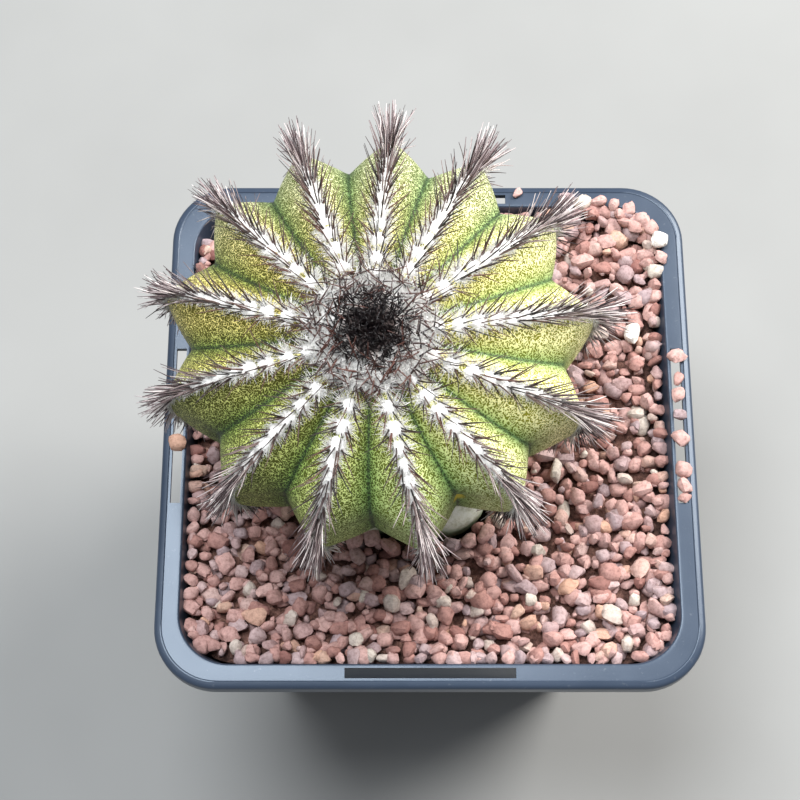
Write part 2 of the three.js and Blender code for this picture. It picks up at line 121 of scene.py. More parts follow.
def copies(masters, placements, values):
    """placements lists (master number, 4x4 matrix); values maps a name to one number a copy."""
    points, faces, owner = [], [], []
    shapes = []
    for master in masters:
        corners = np.array([v.co for v in master.vertices])
        shapes.append((corners, [list(p.vertices) for p in master.polygons]))
    start = 0
    for which, matrix in placements:
        corners, polygons = shapes[which]
        turned = corners @ np.array(matrix.to_3x3()).T + np.array(matrix.translation)
        points.append(turned)
        faces.extend([start + v for v in polygon] for polygon in polygons)
        owner.append(len(corners))
        start += len(corners)
    mesh = bpy.data.meshes.new("copies")
    mesh.from_pydata(np.concatenate(points).tolist(), [], faces)
    for name, numbers in values.items():
        layer = mesh.attributes.new(name, "FLOAT", "POINT")
        layer.data.foreach_set("value", np.repeat(np.array(numbers, np.float32), owner))
    return mesh


def needle_matrix(root, direction, length, radius, turn):
    """A master one unit long along Z, stood at root along a direction."""
    spin = direction.to_track_quat("Z", "Y").to_matrix() @ Matrix.Rotation(turn, 3, "Z")
    size = Matrix.Diagonal((radius, radius, length))
    placed = (spin @ size).to_4x4()
    placed.translation = root
    return placed


# %% [markdown]
# ## Camera
# The photograph looks down on the pot at about 70 degrees. The camera's place was fitted to the
# four corners of the pot's rim, so it is written from the middle of the rim.

# %% Camera
pot_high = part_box("pot")[1]
POT_HEIGHT = pot_high.z
RIM_HALF = pot_high.x
RIM_TO_CAMERA = Vector((-4.887, -97.83, 279.11)) * MM
CAMERA_ELEVATION = 69.88
CAMERA_LENS = 78.5

camera = bpy.data.objects.new("camera", bpy.data.cameras.new("camera"))
camera.location = Vector((0, 0, POT_HEIGHT)) + RIM_TO_CAMERA
camera.rotation_euler = (math.radians(90 - CAMERA_ELEVATION), 0, 0)
camera.data.lens = CAMERA_LENS
camera.data.clip_start = 0.01
bpy.context.scene.collection.objects.link(camera)
bpy.context.scene.camera = camera
print("camera stands", round(camera.location.length, 3), "m from the origin")

# %% [markdown]
# ## Material helpers
# A procedural material is a small net of nodes. These helpers name the few nodes that every
# finish here is mixed from: a pattern at a real scale, a colour ramp over it, and a bump.

# %% Node helpers
def new_material(name):
    material = bpy.data.materials.new(name)
    material.use_nodes = True
    nodes = material.node_tree.nodes
    return material, nodes, material.node_tree.links, nodes["Principled BSDF"]


def object_point(nodes):
    return nodes.new("ShaderNodeTexCoord").outputs["Object"]


def noise_pattern(nodes, links, point, size_mm, detail=3.0, roughness=0.55):
    pattern = nodes.new("ShaderNodeTexNoise")
    pattern.inputs["Scale"].default_value = 1 / (size_mm * MM)
    pattern.inputs["Detail"].default_value = detail
    pattern.inputs["Roughness"].default_value = roughness
    links.new(point, pattern.inputs["Vector"])
    return pattern


def ramp(nodes, links, value, stops):
    node = nodes.new("ShaderNodeValToRGB")
    elements = node.color_ramp.elements
    elements[0].position, elements[1].position = stops[0][0], stops[-1][0]
    for place, _ in stops[1:-1]:
        elements.new(place)
    for element, (_, colour) in zip(elements, stops):
        element.color = (*colour, 1)
    links.new(value, node.inputs["Fac"])
    return node.outputs["Color"]


def feed(links, socket, value):
    """Give a socket a link, a number, or a colour as three numbers."""
    if isinstance(value, bpy.types.NodeSocket):
        links.new(value, socket)
    else:
        socket.default_value = value if isinstance(value, float) else (*value, 1)


def blend_colours(nodes, links, share, first, second, mode="MIX"):
    """A mix node has sockets for every kind of value: 0, 6 and 7 are those for colours."""
    node = nodes.new("ShaderNodeMix")
    node.data_type = "RGBA"
    node.blend_type = mode
    for number, value in ((0, share), (6, first), (7, second)):
        feed(links, node.inputs[number], value)
    return node.outputs[2]


def computed(nodes, links, operation, first, second=0.0):
    """One step of arithmetic on a value, with a number or another value."""
    node = nodes.new("ShaderNodeMath")
    node.operation = operation
    links.new(first, node.inputs[0])
    feed(links, node.inputs[1], second)
    return node.outputs[0]


def map_range(nodes, links, value, before=(0, 1), after=(0, 1), kind="LINEAR"):
    """A value carried from between two numbers to between two others."""
    node = nodes.new("ShaderNodeMapRange")
    node.interpolation_type = kind
    for name, number in zip(("From Min", "From Max", "To Min", "To Max"), (*before, *after)):
        node.inputs[name].default_value = number
    links.new(value, node.inputs["Value"])
    return node.outputs["Result"]


def named_value(nodes, name):
    node = nodes.new("ShaderNodeAttribute")
    node.attribute_name = name
    return node.outputs["Fac"]


def add_bump(nodes, links, shader, height, distance_mm, strength=1.0):
    node = nodes.new("ShaderNodeBump")
    node.inputs["Distance"].default_value = distance_mm * MM
    node.inputs["Strength"].default_value = strength
    links.new(height, node.inputs["Height"])
    links.new(node.outputs["Normal"], shader.inputs["Normal"])


# %% [markdown]
# ## The pot
# A nursery pot is one thin moulding, so it is modelled as one profile carried round a rounded
# square: a ring of vertices is extruded from station to station, up the outside, round the
# turned-down lip and down the inside. The ring has vertices where the slots in the flange
# end, so a slot is made by deleting faces above and below and bridging the two openings.

# %% The pot's outline
SLOT_LENGTH = 27.7
CORNER_STEPS = 14


def pot_outline(half, radius, z):
    """A rounded square at one height, in millimetres, with a vertex at each end of each slot."""
    places = []
    for corner in range(4):
        turn = Matrix.Rotation(corner * math.pi / 2, 3, "Z")
        for step in range(CORNER_STEPS + 1):
            angle = step / CORNER_STEPS * math.pi / 2
            x = half - radius + radius * math.cos(angle)
            y = half - radius + radius * math.sin(angle)
            places.append(turn @ Vector((x, y, z)) * MM)
        for side in (1, -1):
            places.append(turn @ Vector((side * SLOT_LENGTH / 2, half, z)) * MM)
    return places


rim = POT_HEIGHT / MM
half_rim = RIM_HALF / MM
WALL_HALF_TOP, WALL_HALF_FLOOR = 40.9, 29.9
WALL_RADIUS_TOP, WALL_RADIUS_FLOOR = 8.4, 6.0
WALL_THICK, FLOOR_UNDER, FLOOR_TOP = 0.8, 2.0, 3.4
FLANGE_THICK, LIP_DROP, LIP_THICK = 1.1, 3.0, 0.9
RIM_RADIUS = 10.4
SLOT_WIDTH = 1.7


def inside_half(z):
    return WALL_HALF_FLOOR + (WALL_HALF_TOP - WALL_HALF_FLOOR) * (z - FLOOR_TOP) / (rim - FLOOR_TOP)


def inside_radius(z):
    share = (z - FLOOR_TOP) / (rim - FLOOR_TOP)
    return WALL_RADIUS_FLOOR + (WALL_RADIUS_TOP - WALL_RADIUS_FLOOR) * share


# %% The pot's profile, from the floor up the outside, over the lip and down the inside
# A station is half the width, the corner's radius and the height
flange_under = rim - FLANGE_THICK
wall_out = inside_half(flange_under) + WALL_THICK
slot_in = wall_out + 0.05
slot_out = slot_in + SLOT_WIDTH
FLOOR_CENTRE = 11.4
WALL_MIDDLE = 40
STEP_LOW, STEP_HIGH, STEP_OUT = rim - 14, rim - 13.6, 0.25
ROUND_STEPS = 5
BEAD_HIGH, BEAD_IN = 0.1, 1.15
LIP_ROUND, MOUTH_ROUND = 0.8, 0.35


def rounded_edge(half, radius, z, size, start, end):
    """Stations round a quarter circle of that size, about a middle at half and z."""
    stations = []
    for step in range(ROUND_STEPS + 1):
        angle = math.radians(start + (end - start) * step / ROUND_STEPS)
        reach = size * math.cos(angle)
        stations.append((half + reach, radius + reach * 0.6, z + size * math.sin(angle)))
    return stations


outside = [
    (wall_out - FLOOR_CENTRE, WALL_RADIUS_FLOOR - 0.6, FLOOR_UNDER),
    (WALL_HALF_FLOOR - 0.6, WALL_RADIUS_FLOOR - 0.4, FLOOR_UNDER),
    (WALL_HALF_FLOOR + 0.2, WALL_RADIUS_FLOOR, FLOOR_UNDER + 0.35),
    (WALL_HALF_FLOOR + WALL_THICK, WALL_RADIUS_FLOOR + 0.4, FLOOR_TOP),
    (inside_half(WALL_MIDDLE) + WALL_THICK, inside_radius(WALL_MIDDLE) + 0.4, WALL_MIDDLE),
    (inside_half(STEP_LOW) + WALL_THICK, inside_radius(STEP_LOW) + 0.4, STEP_LOW),
    (inside_half(STEP_HIGH) + WALL_THICK + STEP_OUT, inside_radius(STEP_HIGH) + 0.5, STEP_HIGH),
    (wall_out - 0.05, inside_radius(flange_under) + 0.4, flange_under - 0.4),
    (slot_in, inside_radius(flange_under) + 0.45, flange_under),
]
flange_below = [
    (slot_out, inside_radius(flange_under) + 0.8, flange_under),
    (half_rim - LIP_THICK - 0.35, RIM_RADIUS - 0.9, flange_under),
    (half_rim - LIP_THICK, RIM_RADIUS - 0.7, flange_under - 0.3),
    (half_rim - LIP_THICK, RIM_RADIUS - 0.6, rim - LIP_DROP + 0.15),
    (half_rim - LIP_THICK + 0.2, RIM_RADIUS - 0.5, rim - LIP_DROP),
    (half_rim - 0.2, RIM_RADIUS - 0.1, rim - LIP_DROP),
    (half_rim, RIM_RADIUS, rim - LIP_DROP + 0.2),
]
lip_edge = rounded_edge(half_rim - LIP_ROUND, RIM_RADIUS - 0.5, rim - LIP_ROUND, LIP_ROUND, 0, 80)
flange_above = lip_edge + [
    (half_rim - BEAD_IN + 0.15, RIM_RADIUS - 0.9, rim + BEAD_HIGH * 0.7),
    (half_rim - BEAD_IN, RIM_RADIUS - 1.0, rim + BEAD_HIGH),
    (half_rim - BEAD_IN - 0.14, RIM_RADIUS - 1.1, rim + BEAD_HIGH * 0.2),
    (half_rim - BEAD_IN - 0.18, RIM_RADIUS - 1.12, rim - 0.02),
    (slot_out, inside_radius(rim) + 0.8, rim),
]
mouth_edge = rounded_edge(WALL_HALF_TOP + MOUTH_ROUND, WALL_RADIUS_TOP + 0.2, rim - MOUTH_ROUND,
                          MOUTH_ROUND, 90, 180)
inside = [(slot_in, inside_radius(rim) + 0.45, rim)] + mouth_edge + [
    (inside_half(rim - 4), inside_radius(rim - 4), rim - 4),
    (inside_half(WALL_MIDDLE), inside_radius(WALL_MIDDLE), WALL_MIDDLE),
    (WALL_HALF_FLOOR, WALL_RADIUS_FLOOR, FLOOR_TOP),
]


def faces_between(bm, ring_a, ring_b, first):
    """The face between two neighbouring rings, on the stretch that starts at vertex first."""
    corners = {ring_a[first], ring_a[first + 1], ring_b[first], ring_b[first + 1]}
    return next(f for f in ring_a[first].link_faces if set(f.verts) == corners)


def make_pot():
    bm = bmesh.new()
    stations = outside + flange_below + flange_above + inside
    rings = [first_ring(bm, pot_outline(*stations[0]))]
    for station in stations[1:]:
        rings.append(extrude_ring(bm, rings[-1], pot_outline(*station)))
    for ring in (rings[0], rings[-1]):
        bmesh.ops.contextual_create(bm, geom=[
            bm.edges.get((ring[i], ring[(i + 1) % len(ring)])) for i in range(len(ring))
        ])
    below = len(outside) - 1
    above = len(outside) + len(flange_below) + len(flange_above) - 1
    for corner in range(4):
        first = corner * (CORNER_STEPS + 3) + CORNER_STEPS + 1
        lower = faces_between(bm, rings[below], rings[below + 1], first)
        upper = faces_between(bm, rings[above], rings[above + 1], first)
        edges = list(lower.edges) + list(upper.edges)
        bmesh.ops.delete(bm, geom=[lower, upper], context="FACES_ONLY")
        bmesh.ops.bridge_loops(bm, edges=edges)
    return mesh_from(bm)


# %% Feet and drain holes
# These are cut and joined with Boolean modifiers, which are applied, because they meet only
# the flat floor of the pot.
CUTTER_STEPS = 4


def cutter(name, half_x, half_y, radius, low, high, x, y):
    """A block with rounded corners, from low to high, about a middle at x and y."""
    bm = bmesh.new()
    places = []
    for corner, (sx, sy) in enumerate(((1, 1), (-1, 1), (-1, -1), (1, -1))):
        for step in range(CUTTER_STEPS + 1):
            angle = (corner + step / CUTTER_STEPS) * math.pi / 2
            places.append(Vector((
                x + sx * (half_x - radius) + radius * math.cos(angle),
                y + sy * (half_y - radius) + radius * math.sin(angle),
                low,
            )) * MM)
    ring = first_ring(bm, places)
    top = extrude_ring(bm, ring, [p + Vector((0, 0, (high - low) * MM)) for p in places])
    for loop in (ring, top):
        bmesh.ops.contextual_create(bm, geom=loop)
    bmesh.ops.remove_doubles(bm, verts=bm.verts, dist=1e-6)
    piece = bpy.data.objects.new(name, mesh_from(bm))
    bpy.context.scene.collection.objects.link(piece)
    return piece


def apply_modifiers(piece):
    graph = bpy.context.evaluated_depsgraph_get()
    made = bpy.data.meshes.new_from_object(piece.evaluated_get(graph))
    piece.modifiers.clear()
    piece.data = made


def with_boolean(mesh, tools):
    piece = bpy.data.objects.new("blank", mesh)
    bpy.context.scene.collection.objects.link(piece)
    for tool, operation in tools:
        modifier = piece.modifiers.new(tool.name, "BOOLEAN")
        modifier.operation = operation
        modifier.object = tool
        modifier.solver = "EXACT"
    apply_modifiers(piece)
    made = piece.data
    for thing in [piece] + [tool for tool, _ in tools]:
        bpy.data.objects.remove(thing)
    return made


FOOT_HALF, FOOT_RADIUS, FOOT_OFFSET, CENTRE_FOOT = 6.5, 3, 20.5, 8.0
DRAIN_LENGTH, DRAIN_WIDTH, DRAIN_END, DRAIN_OFFSET = 12.0, 4.0, 1.9, 21.5
DRAIN_ROUND, DRAIN_ROUND_OFFSET = 2.6, 11.0


def foot_and_drain_tools():
    foot_top = FLOOR_UNDER + 0.5
    low, high = FLOOR_UNDER - 1, FLOOR_TOP + 1
    long, wide = DRAIN_LENGTH / 2, DRAIN_WIDTH / 2
    tools = [(cutter("foot", CENTRE_FOOT, CENTRE_FOOT, CENTRE_FOOT, 0, foot_top, 0, 0), "UNION")]
    for x in (-1, 1):
        for y in (-1, 1):
            foot = cutter("foot", FOOT_HALF, FOOT_HALF, FOOT_RADIUS, 0, foot_top,
                          x * FOOT_OFFSET, y * FOOT_OFFSET)
            tools.append((foot, "UNION"))
            hole = cutter("drain", DRAIN_ROUND, DRAIN_ROUND, DRAIN_ROUND, low, high,
                          x * DRAIN_ROUND_OFFSET, y * DRAIN_ROUND_OFFSET)
            tools.append((hole, "DIFFERENCE"))
        along_x = cutter("drain", long, wide, DRAIN_END, low, high, 0, x * DRAIN_OFFSET)
        along_y = cutter("drain", wide, long, DRAIN_END, low, high, x * DRAIN_OFFSET, 0)
        tools += [(along_x, "DIFFERENCE"), (along_y, "DIFFERENCE")]
    return tools


# %% [markdown]
# ### The pot's plastic
# The plastic is a satin slate blue. It isn't one even colour: moulded plastic that has stood
# outdoors has faint cloudy dulling and fine dust, which show mostly in the gloss, so the
# roughness varies more than the colour does. The gloss is tinted a little blue, a painted
# reflection of a blue sky.

# %% Plastic
PLASTIC_CREASE = math.radians(40)
PLASTIC_ROUGH = (0.26, 0.38)
DUST_SHARE = 0.16


def plastic():
    material, nodes, links, shader = new_material("slate_blue_plastic")
    point = object_point(nodes)
    cloud = noise_pattern(nodes, links, point, 14, 4)
    colour = ramp(nodes, links, cloud.outputs["Fac"], [
        (0.3, (0.026, 0.038, 0.062)), (0.7, (0.036, 0.05, 0.078)),
    ])
    dust = noise_pattern(nodes, links, point, 0.9, 5, 0.7)
    dusty = ramp(nodes, links, dust.outputs["Fac"], [(0.62, (0, 0, 0)), (0.75, (1, 1, 1))])
    share = computed(nodes, links, "MULTIPLY", dusty, DUST_SHARE)
    links.new(blend_colours(nodes, links, share, colour, (0.42, 0.43, 0.44)),
              shader.inputs["Base Color"])
    rough = map_range(nodes, links, cloud.outputs["Fac"], after=PLASTIC_ROUGH)
    links.new(rough, shader.inputs["Roughness"])
    # Painted reflection: the blue tint of the gloss stands in for a blue sky
    shader.inputs["Specular Tint"].default_value = (0.78, 0.88, 1.0, 1)
    shader.inputs["Specular IOR Level"].default_value = 0.52
    grain = noise_pattern(nodes, links, point, 0.35, 2)
    add_bump(nodes, links, shader, grain.outputs["Fac"], 0.02, 0.5)
    return material


pot = add_piece("pot_moulding", with_boolean(make_pot(), foot_and_drain_tools()), plastic(),
                ["pot"])
pot.data.set_sharp_from_angle(angle=PLASTIC_CREASE)

# %% [markdown]
# ## The potting mix
# The mix is hidden under the grit and shows only through the drain holes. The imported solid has
# the right shape, so it stays and only gets a crumbly, dark brown material.

# %% Potting mix
MIX_COLOURS = (
    (0.35, (0.012, 0.007, 0.004)), (0.55, (0.05, 0.03, 0.018)), (0.72, (0.16, 0.1, 0.06)),
)


def crumbly(name, size_mm, sharpness, stops, bump_mm):
    """Dry crumbs of about one size, in the colours of a ramp."""
    material, nodes, links, shader = new_material(name)
    crumb = noise_pattern(nodes, links, object_point(nodes), size_mm, 6, sharpness)
    links.new(ramp(nodes, links, crumb.outputs["Fac"], stops), shader.inputs["Base Color"])
    shader.inputs["Roughness"].default_value = 0.95
    add_bump(nodes, links, shader, crumb.outputs["Fac"], bump_mm)
    return material


mix_finish = crumbly("potting_mix", 1.6, 0.7, MIX_COLOURS, 1.2)
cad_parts["potting_mix"].data.materials.clear()
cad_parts["potting_mix"].data.materials.append(mix_finish)
print("potting mix dressed")

# %% [markdown]
# ## The grit
# The top of the pot is dressed with loose pink-brown grains, 2 to 4 mm across. Eight stones are
# modelled, each from a subdivided cube that is pushed out by noise and worn flat on a few
# sides. They are copied over three layers on a jittered grid and in a row along the wall, each
# turned at random. A dark uneven bed closes the gaps under them, its darkness partly painted shade.

# %% Where the grit lies
STOCK_X, STOCK_Y = -3.9, -0.2
STOCK_RADIUS, STOCK_TOP_RADIUS, STOCK_SHOULDER = 20.2, 15.0, 5.6
STOCK_RIBS, STOCK_RIB_ANGLE, STOCK_RIB_DEPTH, STOCK_RIB_FULLNESS = 6, -60, 4.2, 1.6
GRIT_DEPTH = 4.2
# x, y, height and spread of each heap
GRIT_HEAPS = ((31.0, 34.0, 3.6, 13.0), (-39.0, 25.0, 2.2, 9.0), (10.0, -20.0, 1.4, 7.0))
GRIT_WAVE, GRIT_WAVE_TURN = 0.35, 0.17


def grit_level(x, y):
    level = rim - GRIT_DEPTH + GRIT_WAVE * math.sin(x * GRIT_WAVE_TURN) * math.cos(y * GRIT_WAVE_TURN)
    for heap_x, heap_y, height, spread in GRIT_HEAPS:
        away = math.hypot(x - heap_x, y - heap_y) / spread
        level += height * math.exp(-away * away)
    return level


def room_in_square(x, y, half, radius):
    """How far a point lies inside a rounded square, negative outside."""
    dx, dy = abs(x) - (half - radius), abs(y) - (half - radius)
    outer = math.hypot(max(dx, 0), max(dy, 0))
    return radius - outer - min(max(dx, dy), 0)


def stock_reach(angle, radius, depth=STOCK_RIB_DEPTH):
    wave = (1 - math.cos(STOCK_RIBS * (angle - math.radians(STOCK_RIB_ANGLE)))) / 2
    return radius - depth * wave ** STOCK_RIB_FULLNESS


def room_by_stock(x, y):
    dx, dy = x - STOCK_X, y - STOCK_Y
    return math.hypot(dx, dy) - stock_reach(math.atan2(dy, dx), STOCK_RADIUS)


# %% Eight stones
STONE_KINDS = 8
STONE_FLATS = 7
FLAT_REACH = (0.34, 0.42)
FLAT_WEAR = 0.92
STONE_LUMP, STONE_BUMP = 0.16, 0.05


def subdivided_cube():
    bm = bmesh.new()
    bmesh.ops.create_cube(bm, size=1)
    bmesh.ops.subdivide_edges(bm, edges=bm.edges, cuts=2, use_grid_fill=True)
    return bm


def stone_master(seed):
    """A lump one unit long whose sides are worn flat in a few random directions."""
    bm = subdivided_cube()
    draw = random.Random(seed)
    stretch = Vector((1, draw.uniform(0.62, 0.95), draw.uniform(0.5, 0.8)))
    shift = Vector((seed * 7.3, seed * 3.1, 0))
    for vertex in bm.verts:
        out = vertex.co.normalized()
        lump = STONE_LUMP * noise.noise(out * 1.2 + shift)
        bump = STONE_BUMP * noise.noise(out * 3 + shift)
        vertex.co = out * (0.5 + lump + bump)
    for _ in range(STONE_FLATS):
        facing = Vector((draw.gauss(0, 1), draw.gauss(0, 1), draw.gauss(0, 1))).normalized()
        reach = draw.uniform(*FLAT_REACH)
        for vertex in bm.verts:
            over = vertex.co.dot(facing) - reach
            if over > 0:
                vertex.co -= facing * over * FLAT_WEAR
    for vertex in bm.verts:
        vertex.co = Vector(a * b for a, b in zip(vertex.co, stretch))
    return mesh_from(bm)


stones = [stone_master(seed) for seed in range(1, STONE_KINDS + 1)]


# %% Lay the grains
# The grains bank up a little against the wall and the stock, and a grain's middle keeps
# clear of them by a share of its size
GRIT_BANK, GRIT_BANK_WIDE = 1.2, 5.0
WALL_ROOM, STOCK_ROOM = 0.34, 0.3
GRID_TURN, GRID_JITTER = 0.41, 0.26
# A row of a triangular grid lies this share of the pitch from the next
ROW_SHARE = 0.866
HOLLOW_DEEP, HOLLOW_SCALE = 0.9, 0.16
# The spread of the sizes, and the smallest and largest share of the mean
SIZE_SPREAD, SIZE_LEAST, SIZE_MOST = 0.19, 0.68, 1.42
EDGE_SPREAD, EDGE_LEAST, EDGE_MOST = 0.16, 0.7, 1.3
# The tone of the palest loose grain: only the stones placed one by one are white
PALEST = 0.988


def grain_matrix(draw, size, x, y, z, flat=False):
    if flat:
        spin = Matrix.Rotation(draw.uniform(0, FULL_SPIN), 4, "Z")
        turn = spin @ Matrix.Rotation(draw.gauss(0, 0.2), 4, "X")
    else:
        axis = Vector((draw.gauss(0, 1), draw.gauss(0, 1), draw.gauss(0, 1)))
        turn = Matrix.Rotation(draw.uniform(0, FULL_SPIN), 4, axis)
    placed = turn @ Matrix.Scale(size * MM, 4)
    placed.translation = Vector((x, y, z)) * MM
    return placed


def lay_grains(seed, lift, pitch, mean_size):
    """Grains on a jittered grid. Each one's tone, from 0 to 1, picks its colour."""
    draw = random.Random(seed)
    placements, tones = [], []
    steps = int(WALL_HALF_TOP * 1.45 / (pitch * ROW_SHARE)) + 1
    for row in range(-steps, steps + 1):
        for column in range(-steps, steps + 1):
            x = (column + 0.5 * (row % 2)) * pitch + draw.gauss(0, pitch * GRID_JITTER)
            y = row * pitch * ROW_SHARE + draw.gauss(0, pitch * GRID_JITTER)
            x, y = Matrix.Rotation(seed * GRID_TURN, 2) @ Vector((x, y))
            size = mean_size * min(SIZE_MOST, max(SIZE_LEAST, draw.gauss(1, SIZE_SPREAD)))
            hollow = HOLLOW_DEEP * noise.noise(Vector((x, y, 0)) * HOLLOW_SCALE)
            z = grit_level(x, y) + lift + hollow + draw.gauss(0, 0.3)
            inside = room_in_square(x, y, inside_half(z), inside_radius(z))
            by_stock = room_by_stock(x, y)
            if inside < size * WALL_ROOM or by_stock < size * STOCK_ROOM:
                continue
            z += GRIT_BANK * (1 - smooth_share(min(inside, by_stock), 0, GRIT_BANK_WIDE))
            placements.append((draw.randrange(STONE_KINDS), grain_matrix(draw, size, x, y, z)))
            tones.append(min(PALEST, draw.random()))
    return placements, tones


def lay_edge_grains(seed, lift, pitch, mean_size):
    """A row of grains that lie against the wall, all the way round."""
    draw = random.Random(seed)
    placements, tones = [], []
    inset = mean_size * WALL_ROOM
    places = [p / MM for p in pot_outline(inside_half(rim) - inset, inside_radius(rim) - inset, rim)]
    for first, second in zip(places, places[1:] + places[:1]):
        stretch = (second - first).length
        steps = max(1, round(stretch / pitch))
        for step in range(steps):
            if stretch < pitch and draw.random() > stretch / pitch:
                continue
            x, y, _ = first.lerp(second, (step + draw.uniform(0.3, 0.7)) / steps)
            size = mean_size * min(EDGE_MOST, max(EDGE_LEAST, draw.gauss(1, EDGE_SPREAD)))
            z = grit_level(x, y) + lift + draw.gauss(0, 0.25)
            closer = (WALL_HALF_TOP - inside_half(z)) / max(abs(x), abs(y))
            x, y = x * (1 - closer), y * (1 - closer)
            placements.append((draw.randrange(STONE_KINDS), grain_matrix(draw, size, x, y, z)))
            tones.append(min(PALEST, draw.random()))
    return placements, tones


# %% [markdown]
# ### The grit's stone
# Each grain carries one random number, its tone, and a ramp turns that into a stone colour.
# A finer noise mottles every grain, and a pitted bump keeps the surface dry and chalky.

# %% Stone
def grit_stone():
    material, nodes, links, shader = new_material("grit_stone")
    point = object_point(nodes)
    tone = named_value(nodes, "tone")
    colour = ramp(nodes, links, tone, [
        (0.0, (0.23, 0.1, 0.085)), (0.07, (0.35, 0.18, 0.155)), (0.25, (0.43, 0.245, 0.22)),
        (0.48, (0.54, 0.34, 0.31)), (0.62, (0.42, 0.265, 0.25)), (0.74, (0.35, 0.265, 0.28)),
        (0.84, (0.47, 0.335, 0.325)), (0.92, (0.54, 0.32, 0.23)), (0.96, (0.48, 0.38, 0.34)),
        (0.99, (0.56, 0.5, 0.44)), (1.0, (0.8, 0.77, 0.72)),
    ])
    mottle = noise_pattern(nodes, links, point, 0.7, 5, 0.7)
    spots = ramp(nodes, links, mottle.outputs["Fac"], [
        (0.34, (0.5, 0.42, 0.4)), (0.5, (0.95, 0.93, 0.92)), (0.66, (1.2, 1.18, 1.17)),
    ])
    links.new(blend_colours(nodes, links, 0.75, colour, spots, "MULTIPLY"), shader.inputs["Base Color"])
    shader.inputs["Roughness"].default_value = 0.82
    pits = noise_pattern(nodes, links, point, 0.35, 4, 0.6)
    add_bump(nodes, links, shader, pits.outputs["Fac"], 0.12, 0.8)
    return material


# %% The bed under the grains
BED_SINK, BED_WAVE, BED_THICK = 1.6, 0.5, 2
BED_BELOW_RIM, BED_WALL_GAP, BED_STOCK_GAP = 6, 0.3, 0.8
BED_RINGS = (0.93, 0.84, 0.75, 0.66, 0.57)


def make_bed():
    """A sheet over the mix, from the wall in to the stock, made wavy and given a thickness."""
    bm = bmesh.new()
    level = rim - BED_BELOW_RIM
    places = pot_outline(inside_half(level) - BED_WALL_GAP, inside_radius(level), level)
    ring = first_ring(bm, places)
    middle = Vector((STOCK_X, STOCK_Y, 0)) * MM
    for share in BED_RINGS:
        ring = extrude_ring(bm, ring, [middle + (p - middle) * share for p in places])
    inner = []
    for place in places:
        angle = math.atan2(place.y - middle.y, place.x - middle.x)
        reach = (stock_reach(angle, STOCK_RADIUS) + BED_STOCK_GAP) * MM
        inner.append(middle + Vector((math.cos(angle) * reach, math.sin(angle) * reach, 0)))
    extrude_ring(bm, ring, inner)
    for vertex in bm.verts:
        x, y = vertex.co.x / MM, vertex.co.y / MM
        wave = BED_WAVE * noise.noise(Vector((x, y, 0)) * 0.4)
        vertex.co.z = (grit_level(x, y) - BED_SINK + wave) * MM
    bmesh.ops.recalc_face_normals(bm, faces=bm.faces)
    if sum(f.normal.z for f in bm.faces) < 0:
        bmesh.ops.reverse_faces(bm, faces=bm.faces)
    bmesh.ops.solidify(bm, geom=bm.faces[:], thickness=BED_THICK * MM)
    return mesh_from(bm)


# The bed is dark red-brown dust and chips, darkened further as painted shade in the gaps between the
# grains
DUST_AND_GAP_SHADE_COLOURS = (
    (0.38, (0.07, 0.03, 0.022)), (0.52, (0.18, 0.085, 0.064)), (0.66, (0.34, 0.18, 0.14)),
)
add_piece("grit_bed", make_bed(), crumbly("grit_dust_and_gap_shade", 0.9, 0.75, DUST_AND_GAP_SHADE_COLOURS, 1.0),
          ["grit_top_dressing"])

# %% Lay three sizes of grain, and the row along the wall
# Name, seed, height over the grit's level, pitch and size of each layer
GRAIN_LAYERS = (
    ("grit_lower_grains", 11, -1.3, 2.9, 3.1),
    ("grit_upper_grains", 12, 0.2, 2.72, 3.15),
    ("grit_chips", 13, 0.15, 3.6, 1.9),
)
EDGE_LAYER = ("grit_edge_grains", 14, 1.3, 2.3, 2.9)
STONE_CREASE = math.radians(40)
stone_finish = grit_stone()


def add_grains(name, placements, tones):
    piece = add_piece(name, copies(stones, placements, {"tone": tones}), stone_finish,
                      ["grit_top_dressing"])
    piece.data.set_sharp_from_angle(angle=STONE_CREASE)
    print(name, "holds", len(placements), "grains")


for name, *layer in GRAIN_LAYERS:
    add_grains(name, *lay_grains(*layer))
add_grains(EDGE_LAYER[0], *lay_edge_grains(*EDGE_LAYER[1:]))

# %% [markdown]
# ### Stray stones
# A few stones have spilled over the inner edge of the flange at the far right, others are wedged
# in its slots, and some larger or paler pebbles lie on the grit. Each is placed one by one, with
# its size and the tone that picks its colour.

# %% Stray stones
WHITE, CREAM, ORANGE, MAUVE, PINK, BRICK = 1.0, 0.985, 0.92, 0.76, 0.5, 0.1
# x, y, size and tone of each
SPILLED = (
    (24.6, 42.2, 3.2, MAUVE), (27.4, 41.3, 3.4, CREAM), (30.3, 41.6, 3.2, PINK), (33.0, 41.0, 3.0, PINK),
    (35.6, 40.0, 3.2, 0.4), (37.7, 38.2, 3.1, PINK), (39.4, 36.4, 3.0, 0.45), (40.7, 34.0, 3.6, WHITE),
    (40.9, 30.8, 2.8, PINK), (28.8, 39.4, 3.0, BRICK), (36.4, 36.6, 3.1, 0.3), (16.0, 43.4, 2.1, PINK),
)
WEDGED = (
    (42.6, 12.2, 3.6, PINK), (42.7, 8.2, 2.6, 0.3), (42.5, 5.4, 3.2, 0.45), (42.6, 1.8, 2.6, MAUVE),
    (42.6, -2.6, 3.4, PINK), (42.6, -8.0, 3.3, 0.4), (42.6, -11.0, 3.2, PINK), (42.6, -13.0, 2.4, 0.3),
    (-42.6, -3.2, 3.5, ORANGE),
)
PEBBLES = (
    (35.4, 17.7, 4.2, WHITE), (29.9, -32.1, 4.6, 0.97), (23.0, -27.6, 4.0, ORANGE),
    (-12.0, -36.1, 2.8, CREAM),
)
